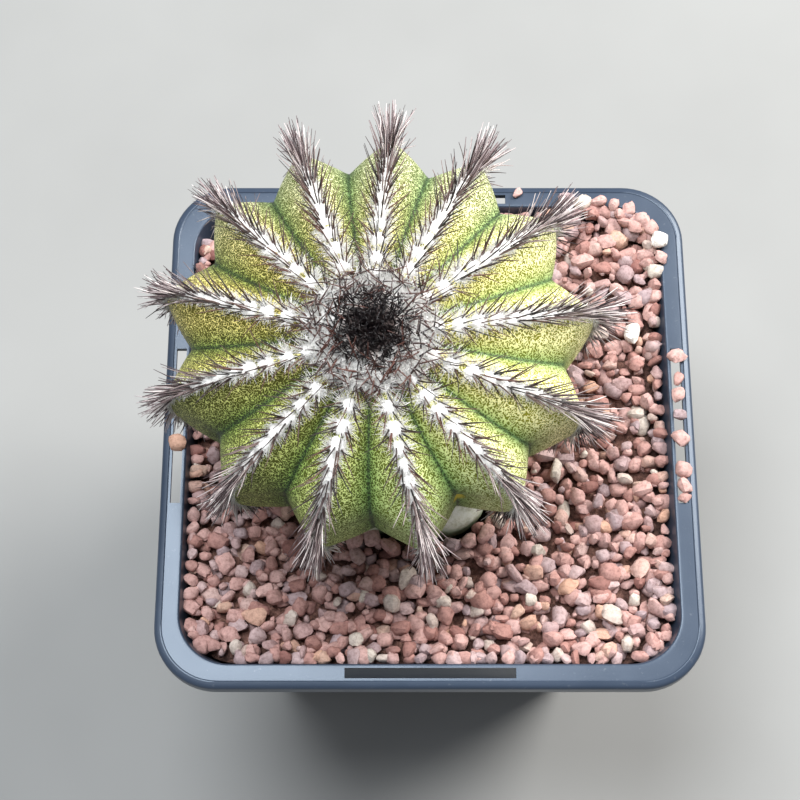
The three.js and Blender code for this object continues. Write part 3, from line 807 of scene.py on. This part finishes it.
AGAINST_STOCK = (
    (-2.2, -21.2, 3.4, PINK), (0.8, -20.9, 3.8, 0.35), (3.9, -20.8, 3.4, MAUVE), (6.6, -20.2, 3.6, PINK),
    (9.3, -18.9, 3.9, 0.4), (11.6, -16.6, 3.4, CREAM), (12.9, -13.9, 3.7, 0.4), (-9.6, -19.4, 3.8, 0.55),
    (-12.6, -19.8, 3.6, PINK), (-6.8, -20.8, 3.4, 0.3),
)
# A stone's middle lies this share of its size over what it rests on
REST_SHARE = 0.27
WEDGE_SINK, PEBBLE_LIFT, STOCK_LIFT = 0.5, 1.3, 2.4
STRAY_SEED = 31


def place_strays():
    draw = random.Random(STRAY_SEED)
    placements, tones = [], []
    for group, height in (
        (SPILLED, lambda x, y, size: rim + REST_SHARE * size),
        (WEDGED, lambda x, y, size: rim - WEDGE_SINK + REST_SHARE * size),
        (PEBBLES, lambda x, y, size: grit_level(x, y) + PEBBLE_LIFT),
        (AGAINST_STOCK, lambda x, y, size: grit_level(x, y) + STOCK_LIFT),
    ):
        for x, y, size, tone in group:
            placed = grain_matrix(draw, size, x, y, height(x, y, size), flat=True)
            placements.append((draw.randrange(STONE_KINDS), placed))
            tones.append(tone)
    return placements, tones


add_grains("grit_strays", *place_strays())

# %% [markdown]
# ## The stock
# The scion is grafted on a short, ribbed stock. What shows of it is pale grey-green, with a
# whitish, corky shoulder where it was cut back, whitened further by painted sunlight on its top.
# Rings are extruded up a ribbed outline, and the depth of the ribs fades over the shoulder, as
# on the imported solid.

# %% Stock
stock_low, stock_high = (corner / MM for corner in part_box("rootstock"))
stock_top = stock_high.z
STOCK_SEGMENTS = 120
STOCK_FOOT_RADIUS, STOCK_TAPER = 15.5, 34
STOCK_TOP_INSETS = (1.2, 4, 8)


def stock_radius(z):
    below = stock_top - STOCK_SHOULDER - z
    if below < 0:
        share = -below / STOCK_SHOULDER
        return mix(STOCK_RADIUS, STOCK_TOP_RADIUS, share ** 1.25)
    return mix(STOCK_RADIUS, STOCK_FOOT_RADIUS, smooth_share(below, 0, STOCK_TAPER))


def stock_point(angle, z, radius=None, depth=None):
    if depth is None:
        depth = STOCK_RIB_DEPTH * (1 - 0.75 * smooth_share(z, stock_top - STOCK_SHOULDER, stock_top))
    reach = stock_reach(angle, stock_radius(z) if radius is None else radius, depth)
    place = Vector((STOCK_X + reach * math.cos(angle), STOCK_Y + reach * math.sin(angle), z))
    rough = noise.noise(place * 0.35) * 0.22 + noise.noise(place * 1.4) * 0.06
    outward = Vector((math.cos(angle), math.sin(angle), 0.3))
    return (place + outward * rough) * MM


def make_stock():
    bm = bmesh.new()
    angles = [2 * math.pi * k / STOCK_SEGMENTS for k in range(STOCK_SEGMENTS)]
    levels = [stock_low.z + 2.4, stock_top - 26, stock_top - 18]
    levels += [stock_top - 14 + 0.55 * k for k in range(24)]
    levels += [stock_top - 0.6, stock_top - 0.25]
    ring = first_ring(bm, [stock_point(a, stock_low.z + 0.3, 11.2, 1) for a in angles])
    bmesh.ops.contextual_create(bm, geom=ring)
    for z in levels:
        ring = extrude_ring(bm, ring, [stock_point(a, z) for a in angles])
    for inward in STOCK_TOP_INSETS:
        radius = STOCK_TOP_RADIUS - inward
        ring = extrude_ring(bm, ring, [stock_point(a, stock_top - 0.05, radius, 0.9) for a in angles])
    bmesh.ops.contextual_create(bm, geom=ring)
    return mesh_from(bm)


def stock_skin():
    material, nodes, links, shader = new_material("stock_skin")
    point = object_point(nodes)
    cloud = noise_pattern(nodes, links, point, 5, 4)
    skin = ramp(nodes, links, cloud.outputs["Fac"], [
        (0.35, (0.16, 0.25, 0.13)), (0.52, (0.33, 0.42, 0.26)), (0.68, (0.52, 0.57, 0.42)),
    ])
    separate = nodes.new("ShaderNodeSeparateXYZ")
    links.new(point, separate.inputs[0])
    shoulder = stock_top - STOCK_SHOULDER
    # The top turns whitish: partly cork, partly painted sunlight on the top
    height = map_range(nodes, links, separate.outputs["Z"], ((shoulder - 3) * MM, (shoulder + 1) * MM))
    cork = noise_pattern(nodes, links, point, 1.1, 6, 0.7)
    cork_and_painted_sunlight = ramp(nodes, links, cork.outputs["Fac"], [
        (0.3, (0.5, 0.5, 0.36)), (0.5, (0.8, 0.82, 0.7)), (0.7, (0.92, 0.94, 0.88)),
    ])
    links.new(blend_colours(nodes, links, height, skin, cork_and_painted_sunlight), shader.inputs["Base Color"])
    shader.inputs["Roughness"].default_value = 0.6
    add_bump(nodes, links, shader, cork.outputs["Fac"], 0.25, 0.7)
    return material


add_piece("stock", make_stock(), stock_skin(), ["rootstock"])

# %% [markdown]
# ## The scion's form
# The body is a flattened globe with thirteen acute ribs. Its form is one function: an angle
# round the plant, an angle t from the crown down to the neck, and how far the groove cuts in.
# The ribs aren't evenly spaced, so their bearings are a short list of measured angles.

# %% The form of the body
RIB_BEARINGS = [
    112.5, 86.7, 61.2, 34.5, 5.6, -23.2, -51.3, -77.8, -105.8, -131.7, -161.7, -191.4, -220.9,
]
RIBS = len(RIB_BEARINGS)
BODY_X, BODY_Y = -8.2, 5.1
WAIST_ABOVE_RIM = 25.6
BODY_RADIUS, BODY_RISE, BODY_DROP, BODY_FULLNESS = 34.1, 16.0, 19.0, 0.92
CROWN_SHIFT = (-0.95, -5.2)
NECK_SHIFT = (1.5, -3.2)
NECK_RADIUS = 12.0
RIB_DEPTH, DEEP_GROOVE, DEEP_GROOVE_EXTRA = 5.0, 6, 1.2
body_end = math.pi - math.asin((NECK_RADIUS / BODY_RADIUS) ** (1 / BODY_FULLNESS))


def rib_angle(i):
    return math.radians(RIB_BEARINGS[i % RIBS]) - 2 * math.pi * (i // RIBS)


def body_profile(t):
    rise = BODY_RISE if t < math.pi / 2 else BODY_DROP
    cosine = math.cos(t)
    reach = BODY_RADIUS * abs(math.sin(t)) ** BODY_FULLNESS
    return reach, math.copysign(rise * abs(cosine) ** BODY_FULLNESS, cosine)


def body_point(angle, t, inset=0.0):
    """A point of the body in millimetres, inset below the surface through the rib edges."""
    r, z = body_profile(t)
    r_before, z_before = body_profile(max(t - 0.01, 1e-4))
    r_after, z_after = body_profile(t + 0.01)
    length = math.hypot(r_after - r_before, z_after - z_before)
    out_r, out_z = (z_before - z_after) / length, (r_after - r_before) / length
    lean = abs(math.cos(t)) ** 1.5
    shift = CROWN_SHIFT if t < math.pi / 2 else NECK_SHIFT
    r -= inset * out_r
    return Vector((
        BODY_X + lean * shift[0] + r * math.cos(angle),
        BODY_Y + lean * shift[1] + r * math.sin(angle),
        rim + WAIST_ABOVE_RIM + z - inset * out_z,
    ))


def groove_depth(i, t):
    upper = math.sin(min(t, math.pi / 2)) ** 0.7
    lower = mix(1, 0.45, smooth_share(t, math.pi / 2, 2.7)) if t > math.pi / 2 else 1
    extra = DEEP_GROOVE_EXTRA * smooth_share(t, 0.8, 1.5) if i % RIBS == DEEP_GROOVE else 0
    return (RIB_DEPTH + extra) * upper * lower


# %% The section of a rib: straight faces, a rounded groove and a rounded edge
GROOVE_ROUND, EDGE_ROUND = 0.07, 0.08
section_places = np.linspace(0, 1, 81)
section_slope = np.clip(section_places / GROOVE_ROUND, 0, 1)
section_slope *= np.clip((1 - section_places) / EDGE_ROUND, 0, 1)
section_fall = np.cumsum(section_slope) / section_slope.sum()


def groove_share(s):
    """0 on the rib's edge (s is 0 or 1), 1 in the middle of the groove (s is a half)."""
    return 1 - float(np.interp(abs(2 * s - 1), section_places, section_fall))


def skin_point(turn, t):
    """turn counts ribs: whole numbers are rib edges, halves are grooves."""
    i = math.floor(turn)
    s = turn - i
    angle = mix(rib_angle(i), rib_angle(i + 1), s)
    share = groove_share(s)
    place = body_point(angle, t, share * groove_depth(i, t))
    swell = 0.16 * noise.noise(place * 0.12) + 0.05 * noise.noise(place * 0.5)
    return place + (place - body_point(angle, t, share * groove_depth(i, t) + 1)) * swell, share


# %% The skin, from one grid wrapped round the body
SKIN_COLUMNS = 20
SKIN_ROWS = 110


def make_skin():
    bm = bmesh.new()
    bmesh.ops.create_grid(bm, x_segments=RIBS * SKIN_COLUMNS, y_segments=SKIN_ROWS, size=0.5)
    groove = bm.verts.layers.float.new("groove")
    for vertex in bm.verts:
        turn = (vertex.co.x + 0.5) * RIBS
        t = mix(0.03, body_end, 0.5 - vertex.co.y)
        place, share = skin_point(turn % RIBS, t)
        vertex.co = place * MM
        vertex[groove] = share
    bmesh.ops.remove_doubles(bm, verts=bm.verts, dist=1e-6)
    bmesh.ops.holes_fill(bm, edges=[e for e in bm.edges if e.is_boundary], sides=0)
    return mesh_from(bm)


# %% [markdown]
# ### The speckled skin
# The skin is green under a dense scurf of tiny pale scales, about half a millimetre apart. Where
# a fine noise is near its middle value it draws a line that winds like worm casts, so the
# scurf follows that line, and is drawn wider on the sunny side as painted light. Under it the
# green changes with painted light and shade: painted shade darkens the grooves, painted sun makes
# the sunny side yellow-green and painted shade leaves the other side olive, the back is bluish,
# and painted shade dims the near side. A stored value, groove, says how deep in a groove a point lies.

# %% Skin
def side_share(nodes, links, point, direction, low, high):
    """0 to 1 across the body along a direction in plan, between two distances in mm."""
    dot = nodes.new("ShaderNodeVectorMath")
    dot.operation = "DOT_PRODUCT"
    dot.inputs[1].default_value = direction
    links.new(point, dot.inputs[0])
    return map_range(nodes, links, dot.outputs["Value"], (low * MM, high * MM), kind="SMOOTHSTEP")


def spot_share(nodes, links, point, middle, reach):
    """1 inside a small patch about a point of the body, fading to 0 at its reach."""
    away = nodes.new("ShaderNodeVectorMath")
    away.operation = "DISTANCE"
    away.inputs[1].default_value = middle * MM
    links.new(point, away.inputs[0])
    return map_range(nodes, links, away.outputs["Value"], (reach * MM, reach * MM * 0.45))


SCURF_SIZE, SUNLIT_SCURF_WIDENING = 0.38, 0.058
YELLOW = (0.62, 0.52, 0.04)
# Two yellowed patches: the place in ribs round the plant, t, and the reach in millimetres
YELLOW_PATCHES = ((6.5, 1.62, 1.5), (9.97, 1.7, 1.3))


def scurfy_skin():
    material, nodes, links, shader = new_material("scurfy_skin")
    point = object_point(nodes)
    # Painted light and shade: the sunny side gets lighter, yellower colours and the other side darker
    # olive ones
    painted_sun_share = side_share(nodes, links, point, (0.94, -0.34, 0), -22, 24)
    back = side_share(nodes, links, point, (0, 1, 0), 8, 34)
    under = blend_colours(nodes, links, painted_sun_share, (0.115, 0.1, 0.002), (0.26, 0.26, 0.004))
    under = blend_colours(nodes, links, back, under, (0.1, 0.13, 0.01))
    over = blend_colours(nodes, links, painted_sun_share, (1.0, 0.85, 0.3), (1.0, 0.95, 0.52))
    over = blend_colours(nodes, links, back, over, (1.0, 1.0, 0.64))
    cloud = noise_pattern(nodes, links, point, 6, 3)
    cloudy = ramp(nodes, links, cloud.outputs["Fac"], [
        (0.3, (0.72, 0.76, 0.7)), (0.7, (1.2, 1.15, 1.1)),
    ])
    under = blend_colours(nodes, links, 0.8, under, cloudy, "MULTIPLY")
    scurf = noise_pattern(nodes, links, point, SCURF_SIZE, 0, 0.5)
    from_middle = computed(nodes, links, "SUBTRACT", scurf.outputs["Fac"], 0.5)
    away = computed(nodes, links, "ABSOLUTE", from_middle)
    # Painted light: the pale scurf lines are drawn wider on the sunny side
    painted_sun_widening = map_range(nodes, links, painted_sun_share, after=(0, -SUNLIT_SCURF_WIDENING))
    away = computed(nodes, links, "ADD", away, painted_sun_widening)
    scales = ramp(nodes, links, away, [(0.035, (1, 1, 1)), (0.065, (0, 0, 0))])
    colour = blend_colours(nodes, links, scales, under, over)
    # Painted shade: the near side of the body is dimmed
    painted_near_shade = side_share(nodes, links, point, (-0.34, -0.94, 0), 2, 26)
    colour = blend_colours(nodes, links, painted_near_shade, colour, (0.58, 0.76, 0.66), "MULTIPLY")
    # Painted shade: the skin darkens towards the bottom of each groove
    painted_groove_shade = ramp(nodes, links, named_value(nodes, "groove"), [
        (0.5, (1, 1, 1)), (0.82, (0.58, 0.68, 0.54)), (0.94, (0.36, 0.5, 0.34)),
        (0.985, (0.1, 0.19, 0.1)),
    ])
    colour = blend_colours(nodes, links, 1.0, colour, painted_groove_shade, "MULTIPLY")
    for turn, t, reach in YELLOW_PATCHES:
        middle, _ = skin_point(turn, t)
        patch = spot_share(nodes, links, point, middle, reach)
        colour = blend_colours(nodes, links, patch, colour, YELLOW)
    links.new(colour, shader.inputs["Base Color"])
    shader.inputs["Roughness"].default_value = 0.62
    add_bump(nodes, links, shader, scales, 0.1, 0.6)
    return material


add_piece("scion_skin", make_skin(), scurfy_skin(), ["scion_body"])

# %% [markdown]
# ## Areoles, wool and spines
# Each rib carries a row of areoles close together on its edge. An areole is a cushion of white
# wool with spines standing in it. Young areoles near the crown are round, bright and star-like,
# and lower down they shrink and run together in a narrow felt. The spines are dark brown when
# young, weather to a greyish violet down the flank, and grow longer until they form a brush.

# %% Masters for a hair, a spine and a wool cushion
def needle_master(sides, cuts, tip, bend):
    """A tapered needle one unit long along Z and one unit in radius, bent towards X."""
    bm = bmesh.new()
    bmesh.ops.create_cone(bm, cap_ends=False, segments=sides, radius1=1, radius2=tip, depth=1)
    long_edges = [e for e in bm.edges if abs(e.verts[0].co.z - e.verts[1].co.z) > 0.5]
    bmesh.ops.subdivide_edges(bm, edges=long_edges, cuts=cuts)
    for vertex in bm.verts:
        z = vertex.co.z + 0.5
        fullness = 1 + 0.2 * math.sin(math.pi * min(1.0, z * 1.1))
        vertex.co = Vector((vertex.co.x * fullness + bend * z * z, vertex.co.y * fullness, z))
    bmesh.ops.holes_fill(bm, edges=[e for e in bm.edges if e.is_boundary], sides=0)
    return mesh_from(bm)


SPINE_BEND = (1.5, 4.0, 8.0)
HAIR_BEND = (3.0, 8.0, 14.0)
KINDS = len(SPINE_BEND)
spine_masters = [needle_master(4, 2, 0.35, bend) for bend in SPINE_BEND]
hair_masters = [needle_master(3, 2, 0.25, bend) for bend in HAIR_BEND]


def cushion_master(seed):
    bm = subdivided_cube()
    for vertex in bm.verts:
        out = vertex.co.normalized()
        vertex.co = out * (1 + 0.22 * noise.noise(out * 2.1 + Vector((seed, 0, 0))))
    return mesh_from(bm)


cushions = [cushion_master(seed) for seed in range(KINDS)]


# %% Where the areoles stand
ROW_START, ROW_END = 0.215, 2.3
AREOLE_STEP_YOUNG, AREOLE_STEP_OLD = 3.3, 2.2
STEP_CHANGE = 20.0


def edge_frame(i, t):
    """On a rib's edge: the point, the way down the rib, the way across it and the way out."""
    angle = rib_angle(i)
    at = body_point(angle, t)
    along = (body_point(angle, t + 0.02) - body_point(angle, t - 0.02)).normalized()
    across = Vector((-math.sin(angle), math.cos(angle), 0))
    out = across.cross(along).normalized()
    if out.dot(at - body_point(angle, t, 1)) < 0:
        out.negate()
    return at, along, across, out


def areole_levels(i, draw):
    """The levels t of a rib's areoles, stepped by their distance along the edge."""
    levels = []
    t, run, due = ROW_START, 0.0, draw.uniform(0, 1.6)
    here = body_point(rib_angle(i), t)
    while t < ROW_END:
        if run >= due:
            levels.append(t)
            due += mix(AREOLE_STEP_YOUNG, AREOLE_STEP_OLD, smooth_share(run, 0, STEP_CHANGE))
            due += draw.uniform(-0.15, 0.15)
        t += 0.004
        there = body_point(rib_angle(i), t)
        run += (there - here).length
        here = there
    return levels


# %% Grow the wool of a row
# Each pair is the value of a young areole and of an old one
CUSHION_WIDTH, CUSHION_LENGTH, CUSHION_HEIGHT = (1.3, 0.8), (1.3, 1.75), (0.95, 0.66)
HAIR_COUNT, HAIR_LENGTH = (150, 70), (2.5, 1.25)
WOOL_SINK = 0.45
HAIR_RADIUS = 0.055


def hair_direction(draw, frame_here, rise):
    _, along, across, out = frame_here
    spin = draw.uniform(0, 2 * math.pi)
    tilt = draw.uniform(0.05, rise)
    flat = along * math.cos(spin) + across * math.sin(spin)
    return (flat * math.cos(tilt) + out * math.sin(tilt)).normalized(), flat


def cushion_matrix(frame_here, width, length, height):
    at, along, across, out = frame_here
    turn = Matrix((across, along, out)).transposed() @ Matrix.Diagonal((width, length, height))
    placed = (turn * MM).to_4x4()
    placed.translation = (at - out * WOOL_SINK) * MM
    return placed


def grow_wool(i, levels, draw):
    cushions_here, hairs, shades = [], [], []
    for t in levels:
        share = smooth_share(t, ROW_START, 1.5)
        old = smooth_share(t, 1.5, ROW_END)
        here = edge_frame(i, t)
        at, along, across, out = here
        width = mix(*CUSHION_WIDTH, share) * draw.uniform(0.85, 1.15) * (1 - 0.25 * old)
        length = mix(*CUSHION_LENGTH, smooth_share(t, 0.3, 0.8))
        height = mix(*CUSHION_HEIGHT, share)
        hair_length = mix(*HAIR_LENGTH, smooth_share(t, ROW_START, 0.9))
        cushions_here.append((draw.randrange(KINDS), cushion_matrix(here, width, length, height)))
        for _ in range(int(mix(*HAIR_COUNT, share) * (1 - 0.4 * old))):
            direction, flat = hair_direction(draw, here, 1.0)
            root = at - out * (WOOL_SINK - 0.2) + across * flat.dot(across) * width * 0.65
            root += along * draw.uniform(-0.6, 0.6) * length
            long = hair_length * draw.uniform(0.45, 1.2) * (1 - 0.2 * old)
            hairs.append((draw.randrange(KINDS), needle_matrix(
                root * MM, direction, long * MM, HAIR_RADIUS * MM, draw.uniform(0, FULL_SPIN))))
            shades.append(min(0.7, old * 0.5 + draw.uniform(0, 0.2)))
    return cushions_here, hairs, shades


# %% Grow the spines of a row
# Each pair is the value of a young areole and of an old one; fan and rise are angles
SPINE_LENGTH, SPINE_COUNT = (5.8, 6.9), (8, 13)
SPINE_FAN, SPINE_RISE = (1.2, 0.7), (0.42, 0.92)
SPINE_RADIUS = 0.122
LEFT_SHORTER = 0.25


def grow_spines(i, levels, draw):
    """The spines of an areole fan out to both sides, and close up into a brush down the rib."""
    spines, ages, tones = [], [], []
    for t in levels:
        share = smooth_share(t, ROW_START, 1.25)
        brush = smooth_share(t, 0.75, 1.2)
        under = smooth_share(t, 1.45, 1.9)
        at, along, across, out = edge_frame(i, t)
        shorter = 1 - LEFT_SHORTER * brush * max(0, -math.cos(rib_angle(i)))
        length = mix(*SPINE_LENGTH, share) * (1 - 0.5 * under) * shorter
        count = round(mix(*SPINE_COUNT, brush)) + draw.choice((0, 1))
        fan = mix(*SPINE_FAN, share)
        lift = mix(*SPINE_RISE, share) - 0.5 * under
        for k in range(count):
            place = 2 * (k + 0.5) / count - 1
            yaw = fan * math.copysign(abs(place) ** mix(0.7, 1, brush), place) + draw.gauss(0, 0.09)
            rise = lift + draw.gauss(0, 0.15) + (0.25 if k % 2 else 0)
            direction = (
                out * math.sin(rise)
                + (along * math.cos(yaw) + across * math.sin(yaw)) * math.cos(rise)
            ).normalized()
            side = math.copysign(min(0.6, abs(yaw)), yaw)
            root = at + across * side * 0.9 + along * draw.uniform(-0.7, 0.7) - out * 0.15
            long = length * draw.uniform(0.75, 1.08) * (0.85 if abs(yaw) > 0.8 else 1)
            spines.append((draw.randrange(KINDS), needle_matrix(
                root * MM, direction, long * MM, SPINE_RADIUS * draw.uniform(0.85, 1.15) * MM,
                draw.uniform(0, FULL_SPIN))))
            ages.append(smooth_share(t, 0.6, 1.25))
            tones.append(draw.random())
    return spines, ages, tones


# %% [markdown]
# ### Wool and spine finishes
# Wool is nearly white and matt, so its shader is rough and gets a little sheen. A stored number,
# shade, darkens it down the rib, and among the newest spines, where the dark is painted shade.
# A spine's colour comes from two stored numbers: its age, which weathers it from brown to grey,
# and its tone, which makes each one differ from the next.

# %% Wool and spines
def wool_finish():
    material, nodes, links, shader = new_material("areole_wool")
    point = object_point(nodes)
    # The darkest stops are painted shade, used among the crown's newest spines
    shade = ramp(nodes, links, named_value(nodes, "shade"), [
        (0.0, (0.96, 0.95, 0.93)), (0.35, (0.88, 0.85, 0.82)), (0.7, (0.55, 0.47, 0.44)),
        (0.85, (0.16, 0.11, 0.1)), (1.0, (0.012, 0.008, 0.008)),
    ])
    felt = noise_pattern(nodes, links, point, 0.5, 4, 0.7)
    dim = ramp(nodes, links, felt.outputs["Fac"], [(0.3, (0.82, 0.79, 0.77)), (0.6, (1, 1, 1))])
    links.new(blend_colours(nodes, links, 0.7, shade, dim, "MULTIPLY"), shader.inputs["Base Color"])
    shader.inputs["Roughness"].default_value = 0.9
    shader.inputs["Sheen Weight"].default_value = 0.3
    add_bump(nodes, links, shader, felt.outputs["Fac"], 0.3)
    return material


def spine_finish():
    material, nodes, links, shader = new_material("spine_horn")
    point = object_point(nodes)
    young = ramp(nodes, links, named_value(nodes, "tone"), [
        (0.0, (0.004, 0.0025, 0.003)), (0.15, (0.01, 0.005, 0.005)), (0.5, (0.035, 0.015, 0.012)),
        (1.0, (0.11, 0.042, 0.03)),
    ])
    old = ramp(nodes, links, named_value(nodes, "tone"), [
        (0.0, (0.025, 0.013, 0.014)), (0.44, (0.1, 0.064, 0.068)), (0.6, (0.3, 0.23, 0.235)),
        (0.8, (0.6, 0.515, 0.51)), (1.0, (0.88, 0.82, 0.79)),
    ])
    colour = blend_colours(nodes, links, named_value(nodes, "age"), young, old)
    bands = noise_pattern(nodes, links, point, 0.9, 3)
    banded = ramp(nodes, links, bands.outputs["Fac"], [
        (0.35, (0.75, 0.72, 0.72)), (0.65, (1.2, 1.2, 1.2)),
    ])
    links.new(blend_colours(nodes, links, 0.6, colour, banded, "MULTIPLY"), shader.inputs["Base Color"])
    shader.inputs["Roughness"].default_value = 0.36
    add_bump(nodes, links, shader, bands.outputs["Fac"], 0.05, 0.5)
    return material


wool = wool_finish()
horn = spine_finish()


def joined(*meshes):
    bm = bmesh.new()
    for mesh in meshes:
        bm.from_mesh(mesh)
    return mesh_from(bm)


ROW_SEED = 100
spine_total = 0
for rib in range(RIBS):
    draw = random.Random(ROW_SEED + rib)
    levels = areole_levels(rib, draw)
    cores, hairs, shades = grow_wool(rib, levels, draw)
    core_shades = [0.1 + 0.6 * smooth_share(t, 1.5, ROW_END) for t in levels]
    core_mesh = copies(cushions, cores, {"shade": core_shades})
    hair_mesh = copies(hair_masters, hairs, {"shade": shades})
    node = f"areole_row_{rib + 1:02d}"
    add_piece(f"wool_row_{rib + 1:02d}", joined(core_mesh, hair_mesh), wool, [node])
    spines, ages, tones = grow_spines(rib, levels, draw)
    spine_total += len(spines)
    add_piece(f"spine_row_{rib + 1:02d}", copies(spine_masters, spines, {"age": ages, "tone": tones}),
              horn, [node])
print("spines on the ribs:", spine_total)

# %% [markdown]
# ## The crown
# The growing point lies in a low cushion of cream wool. New spines stand so close together in
# its middle that they look like a black brush. Round it younger brown spines cross each other
# in every direction over the pale wool.

# %% Crown wool
CROWN_RADIUS = 9.3
CROWN_RINGS, CROWN_STEPS = 12, 72
CROWN_SEED = 77
BLACK_REACH = 4.5


def crown_point(angle, share, lift):
    """A point over the crown: share is 0 at the middle and 1 at the edge of the wool."""
    t = max(1e-3, math.asin(min(1.0, (CROWN_RADIUS * share / BODY_RADIUS)) ** (1 / BODY_FULLNESS)))
    return body_point(angle, t, -lift)


def crown_shade(reach):
    """The wool's shade at a distance from the middle: dark, as painted shade, among the newest spines.
    """
    return mix(0.93, 0.05, smooth_share(reach, BLACK_REACH * 0.6, BLACK_REACH * 1.35))


def make_crown_pad():
    bm = bmesh.new()
    angles = [2 * math.pi * k / CROWN_STEPS for k in range(CROWN_STEPS)]

    def place(angle, share):
        around = Vector((math.cos(angle), math.sin(angle), share))
        lump = 0.5 * noise.noise(around * 2.2) + 0.25 * noise.noise(around * 7)
        edge = 1 - share ** 6
        return crown_point(angle, share, 1.35 * edge + lump * edge - 0.4 * (1 - edge)) * MM

    ring = first_ring(bm, [place(a, 1.0) for a in angles])
    for k in range(1, CROWN_RINGS):
        ring = extrude_ring(bm, ring, [place(a, 1 - k / CROWN_RINGS) for a in angles])
    bmesh.ops.contextual_create(bm, geom=ring)
    mesh = mesh_from(bm)
    middle = crown_point(0, 0, 0)
    shades = [crown_shade((v.co / MM - middle).xy.length) for v in mesh.vertices]
    layer = mesh.attributes.new("shade", "FLOAT", "POINT")
    layer.data.foreach_set("value", shades)
    return mesh


def crown_frame(angle, share):
    at = crown_point(angle, share, 1.0)
    out = (crown_point(angle, share, 2.0) - at).normalized()
    along = Vector((math.cos(angle), math.sin(angle), 0))
    along = (along - out * along.dot(out)).normalized()
    return at, along, out.cross(along), out


CROWN_HAIRS, CROWN_HAIR_LENGTH = 3200, (1.0, 2.2)
# No hair stands where the wool would be darker than this, so that the black spines show
DARKEST_HAIR = 0.55


def grow_crown_wool(draw):
    hairs, shades = [], []
    for _ in range(CROWN_HAIRS):
        angle = draw.uniform(0, 2 * math.pi)
        share = math.sqrt(draw.uniform(0.02, 1.0))
        here = crown_frame(angle, share)
        direction, _ = hair_direction(draw, here, 1.5)
        shade = crown_shade(share * CROWN_RADIUS)
        if shade > DARKEST_HAIR:
            continue
        hairs.append((draw.randrange(KINDS), needle_matrix(
            here[0] * MM, direction, draw.uniform(*CROWN_HAIR_LENGTH) * MM, HAIR_RADIUS * MM,
            draw.uniform(0, FULL_SPIN))))
        shades.append(min(1.0, shade * draw.uniform(0.5, 1.4)))
    return copies(hair_masters, hairs, {"shade": shades})


# %% Crown spines
BLACK_SPINES, BROWN_SPINES = 600, 290
# They are copies of the two straighter spines
STRAIGHT_KINDS = 2
# Each spine turns on from the one before by this angle, which spreads them evenly
GOLDEN_ANGLE = math.pi * (3 - math.sqrt(5))


def grow_crown_spines(draw):
    spines, ages, tones = [], [], []
    for k in range(BLACK_SPINES + BROWN_SPINES):
        black = k < BLACK_SPINES
        angle = k * GOLDEN_ANGLE
        if black:
            reach = BLACK_REACH * 1.25 * ((k + 0.5) / BLACK_SPINES) ** 0.7
        else:
            reach = mix(BLACK_REACH * 1.1, CROWN_RADIUS * 1.05, draw.random())
        at, along, across, out = crown_frame(angle, min(1.0, reach / CROWN_RADIUS))
        spin = draw.uniform(-math.pi, math.pi)
        lean = draw.uniform(0.3, 1.15) if black else draw.uniform(0.8, 1.4)
        flat = along * (math.cos(spin) + 0.25) + across * math.sin(spin)
        direction = (out * math.cos(lean) + flat * math.sin(lean)).normalized()
        long = draw.uniform(2.0, 3.4) if black else draw.uniform(2.0, 4.4)
        root = at + out * (draw.uniform(-0.4, 0.9) if black else draw.uniform(0.1, 0.8))
        spines.append((draw.randrange(STRAIGHT_KINDS), needle_matrix(
            root * MM, direction, long * MM, SPINE_RADIUS * draw.uniform(1.0, 1.25) * MM,
            draw.uniform(0, FULL_SPIN))))
        ages.append(0.0)
        if black:
            browner = 0.3 * smooth_share(reach, BLACK_REACH, BLACK_REACH * 1.7)
            tones.append(draw.uniform(0, 0.12) + browner)
        else:
            tones.append(draw.uniform(0.2, 1.0))
    return copies(spine_masters, spines, {"age": ages, "tone": tones})


crown_draw = random.Random(CROWN_SEED)
add_piece("crown_wool", joined(make_crown_pad(), grow_crown_wool(crown_draw)), wool,
          ["crown_tuft"])
add_piece("crown_spines", grow_crown_spines(crown_draw), horn, ["crown_tuft"])

# %% [markdown]
# ## Floor and light
# The floor is plain and pale. A broad soft panel overhead gives the plastic its sheen on the
# near and left sides of the rim, a second one from the right lights the sunny flank, and the
# world fills the shadows.

# %% Floor
def floor_finish():
    material, nodes, links, shader = new_material("pale_floor")
    point = object_point(nodes)
    cloud = noise_pattern(nodes, links, point, 60, 3)
    colour = ramp(nodes, links, cloud.outputs["Fac"], [
        (0.3, (0.26, 0.26, 0.255)), (0.7, (0.285, 0.285, 0.28)),
    ])
    links.new(colour, shader.inputs["Base Color"])
    shader.inputs["Roughness"].default_value = 0.8
    return material


floor_bm = bmesh.new()
bmesh.ops.create_grid(floor_bm, x_segments=1, y_segments=1, size=2)
floor = bpy.data.objects.new("floor", mesh_from(floor_bm))
floor.data.materials.append(floor_finish())
bpy.context.scene.collection.objects.link(floor)


# %% Lights
def panel(name, place, size, power, colour):
    light = bpy.data.lights.new(name, "AREA")
    light.shape = "DISK"
    light.size = size
    light.energy = power
    light.color = colour
    lamp = bpy.data.objects.new(name, light)
    lamp.location = place
    aim = Vector((0, 0, POT_HEIGHT)) - lamp.location
    lamp.rotation_euler = aim.to_track_quat("-Z", "Y").to_euler()
    bpy.context.scene.collection.objects.link(lamp)


panel("overhead_panel", Vector((-0.15, 0.12, 0.8)), 0.4, 8.0, (0.93, 0.97, 1.0))
panel("sun_side_panel", Vector((0.5, 0.36, 0.62)), 0.5, 11.5, (1.0, 0.98, 0.94))
world = bpy.data.worlds.new("studio")
world.use_nodes = True
world.node_tree.nodes["Background"].inputs["Color"].default_value = (0.86, 0.9, 0.95, 1)
world.node_tree.nodes["Background"].inputs["Strength"].default_value = 0.36
bpy.context.scene.world = world
bpy.context.scene.view_settings.view_transform = "Standard"
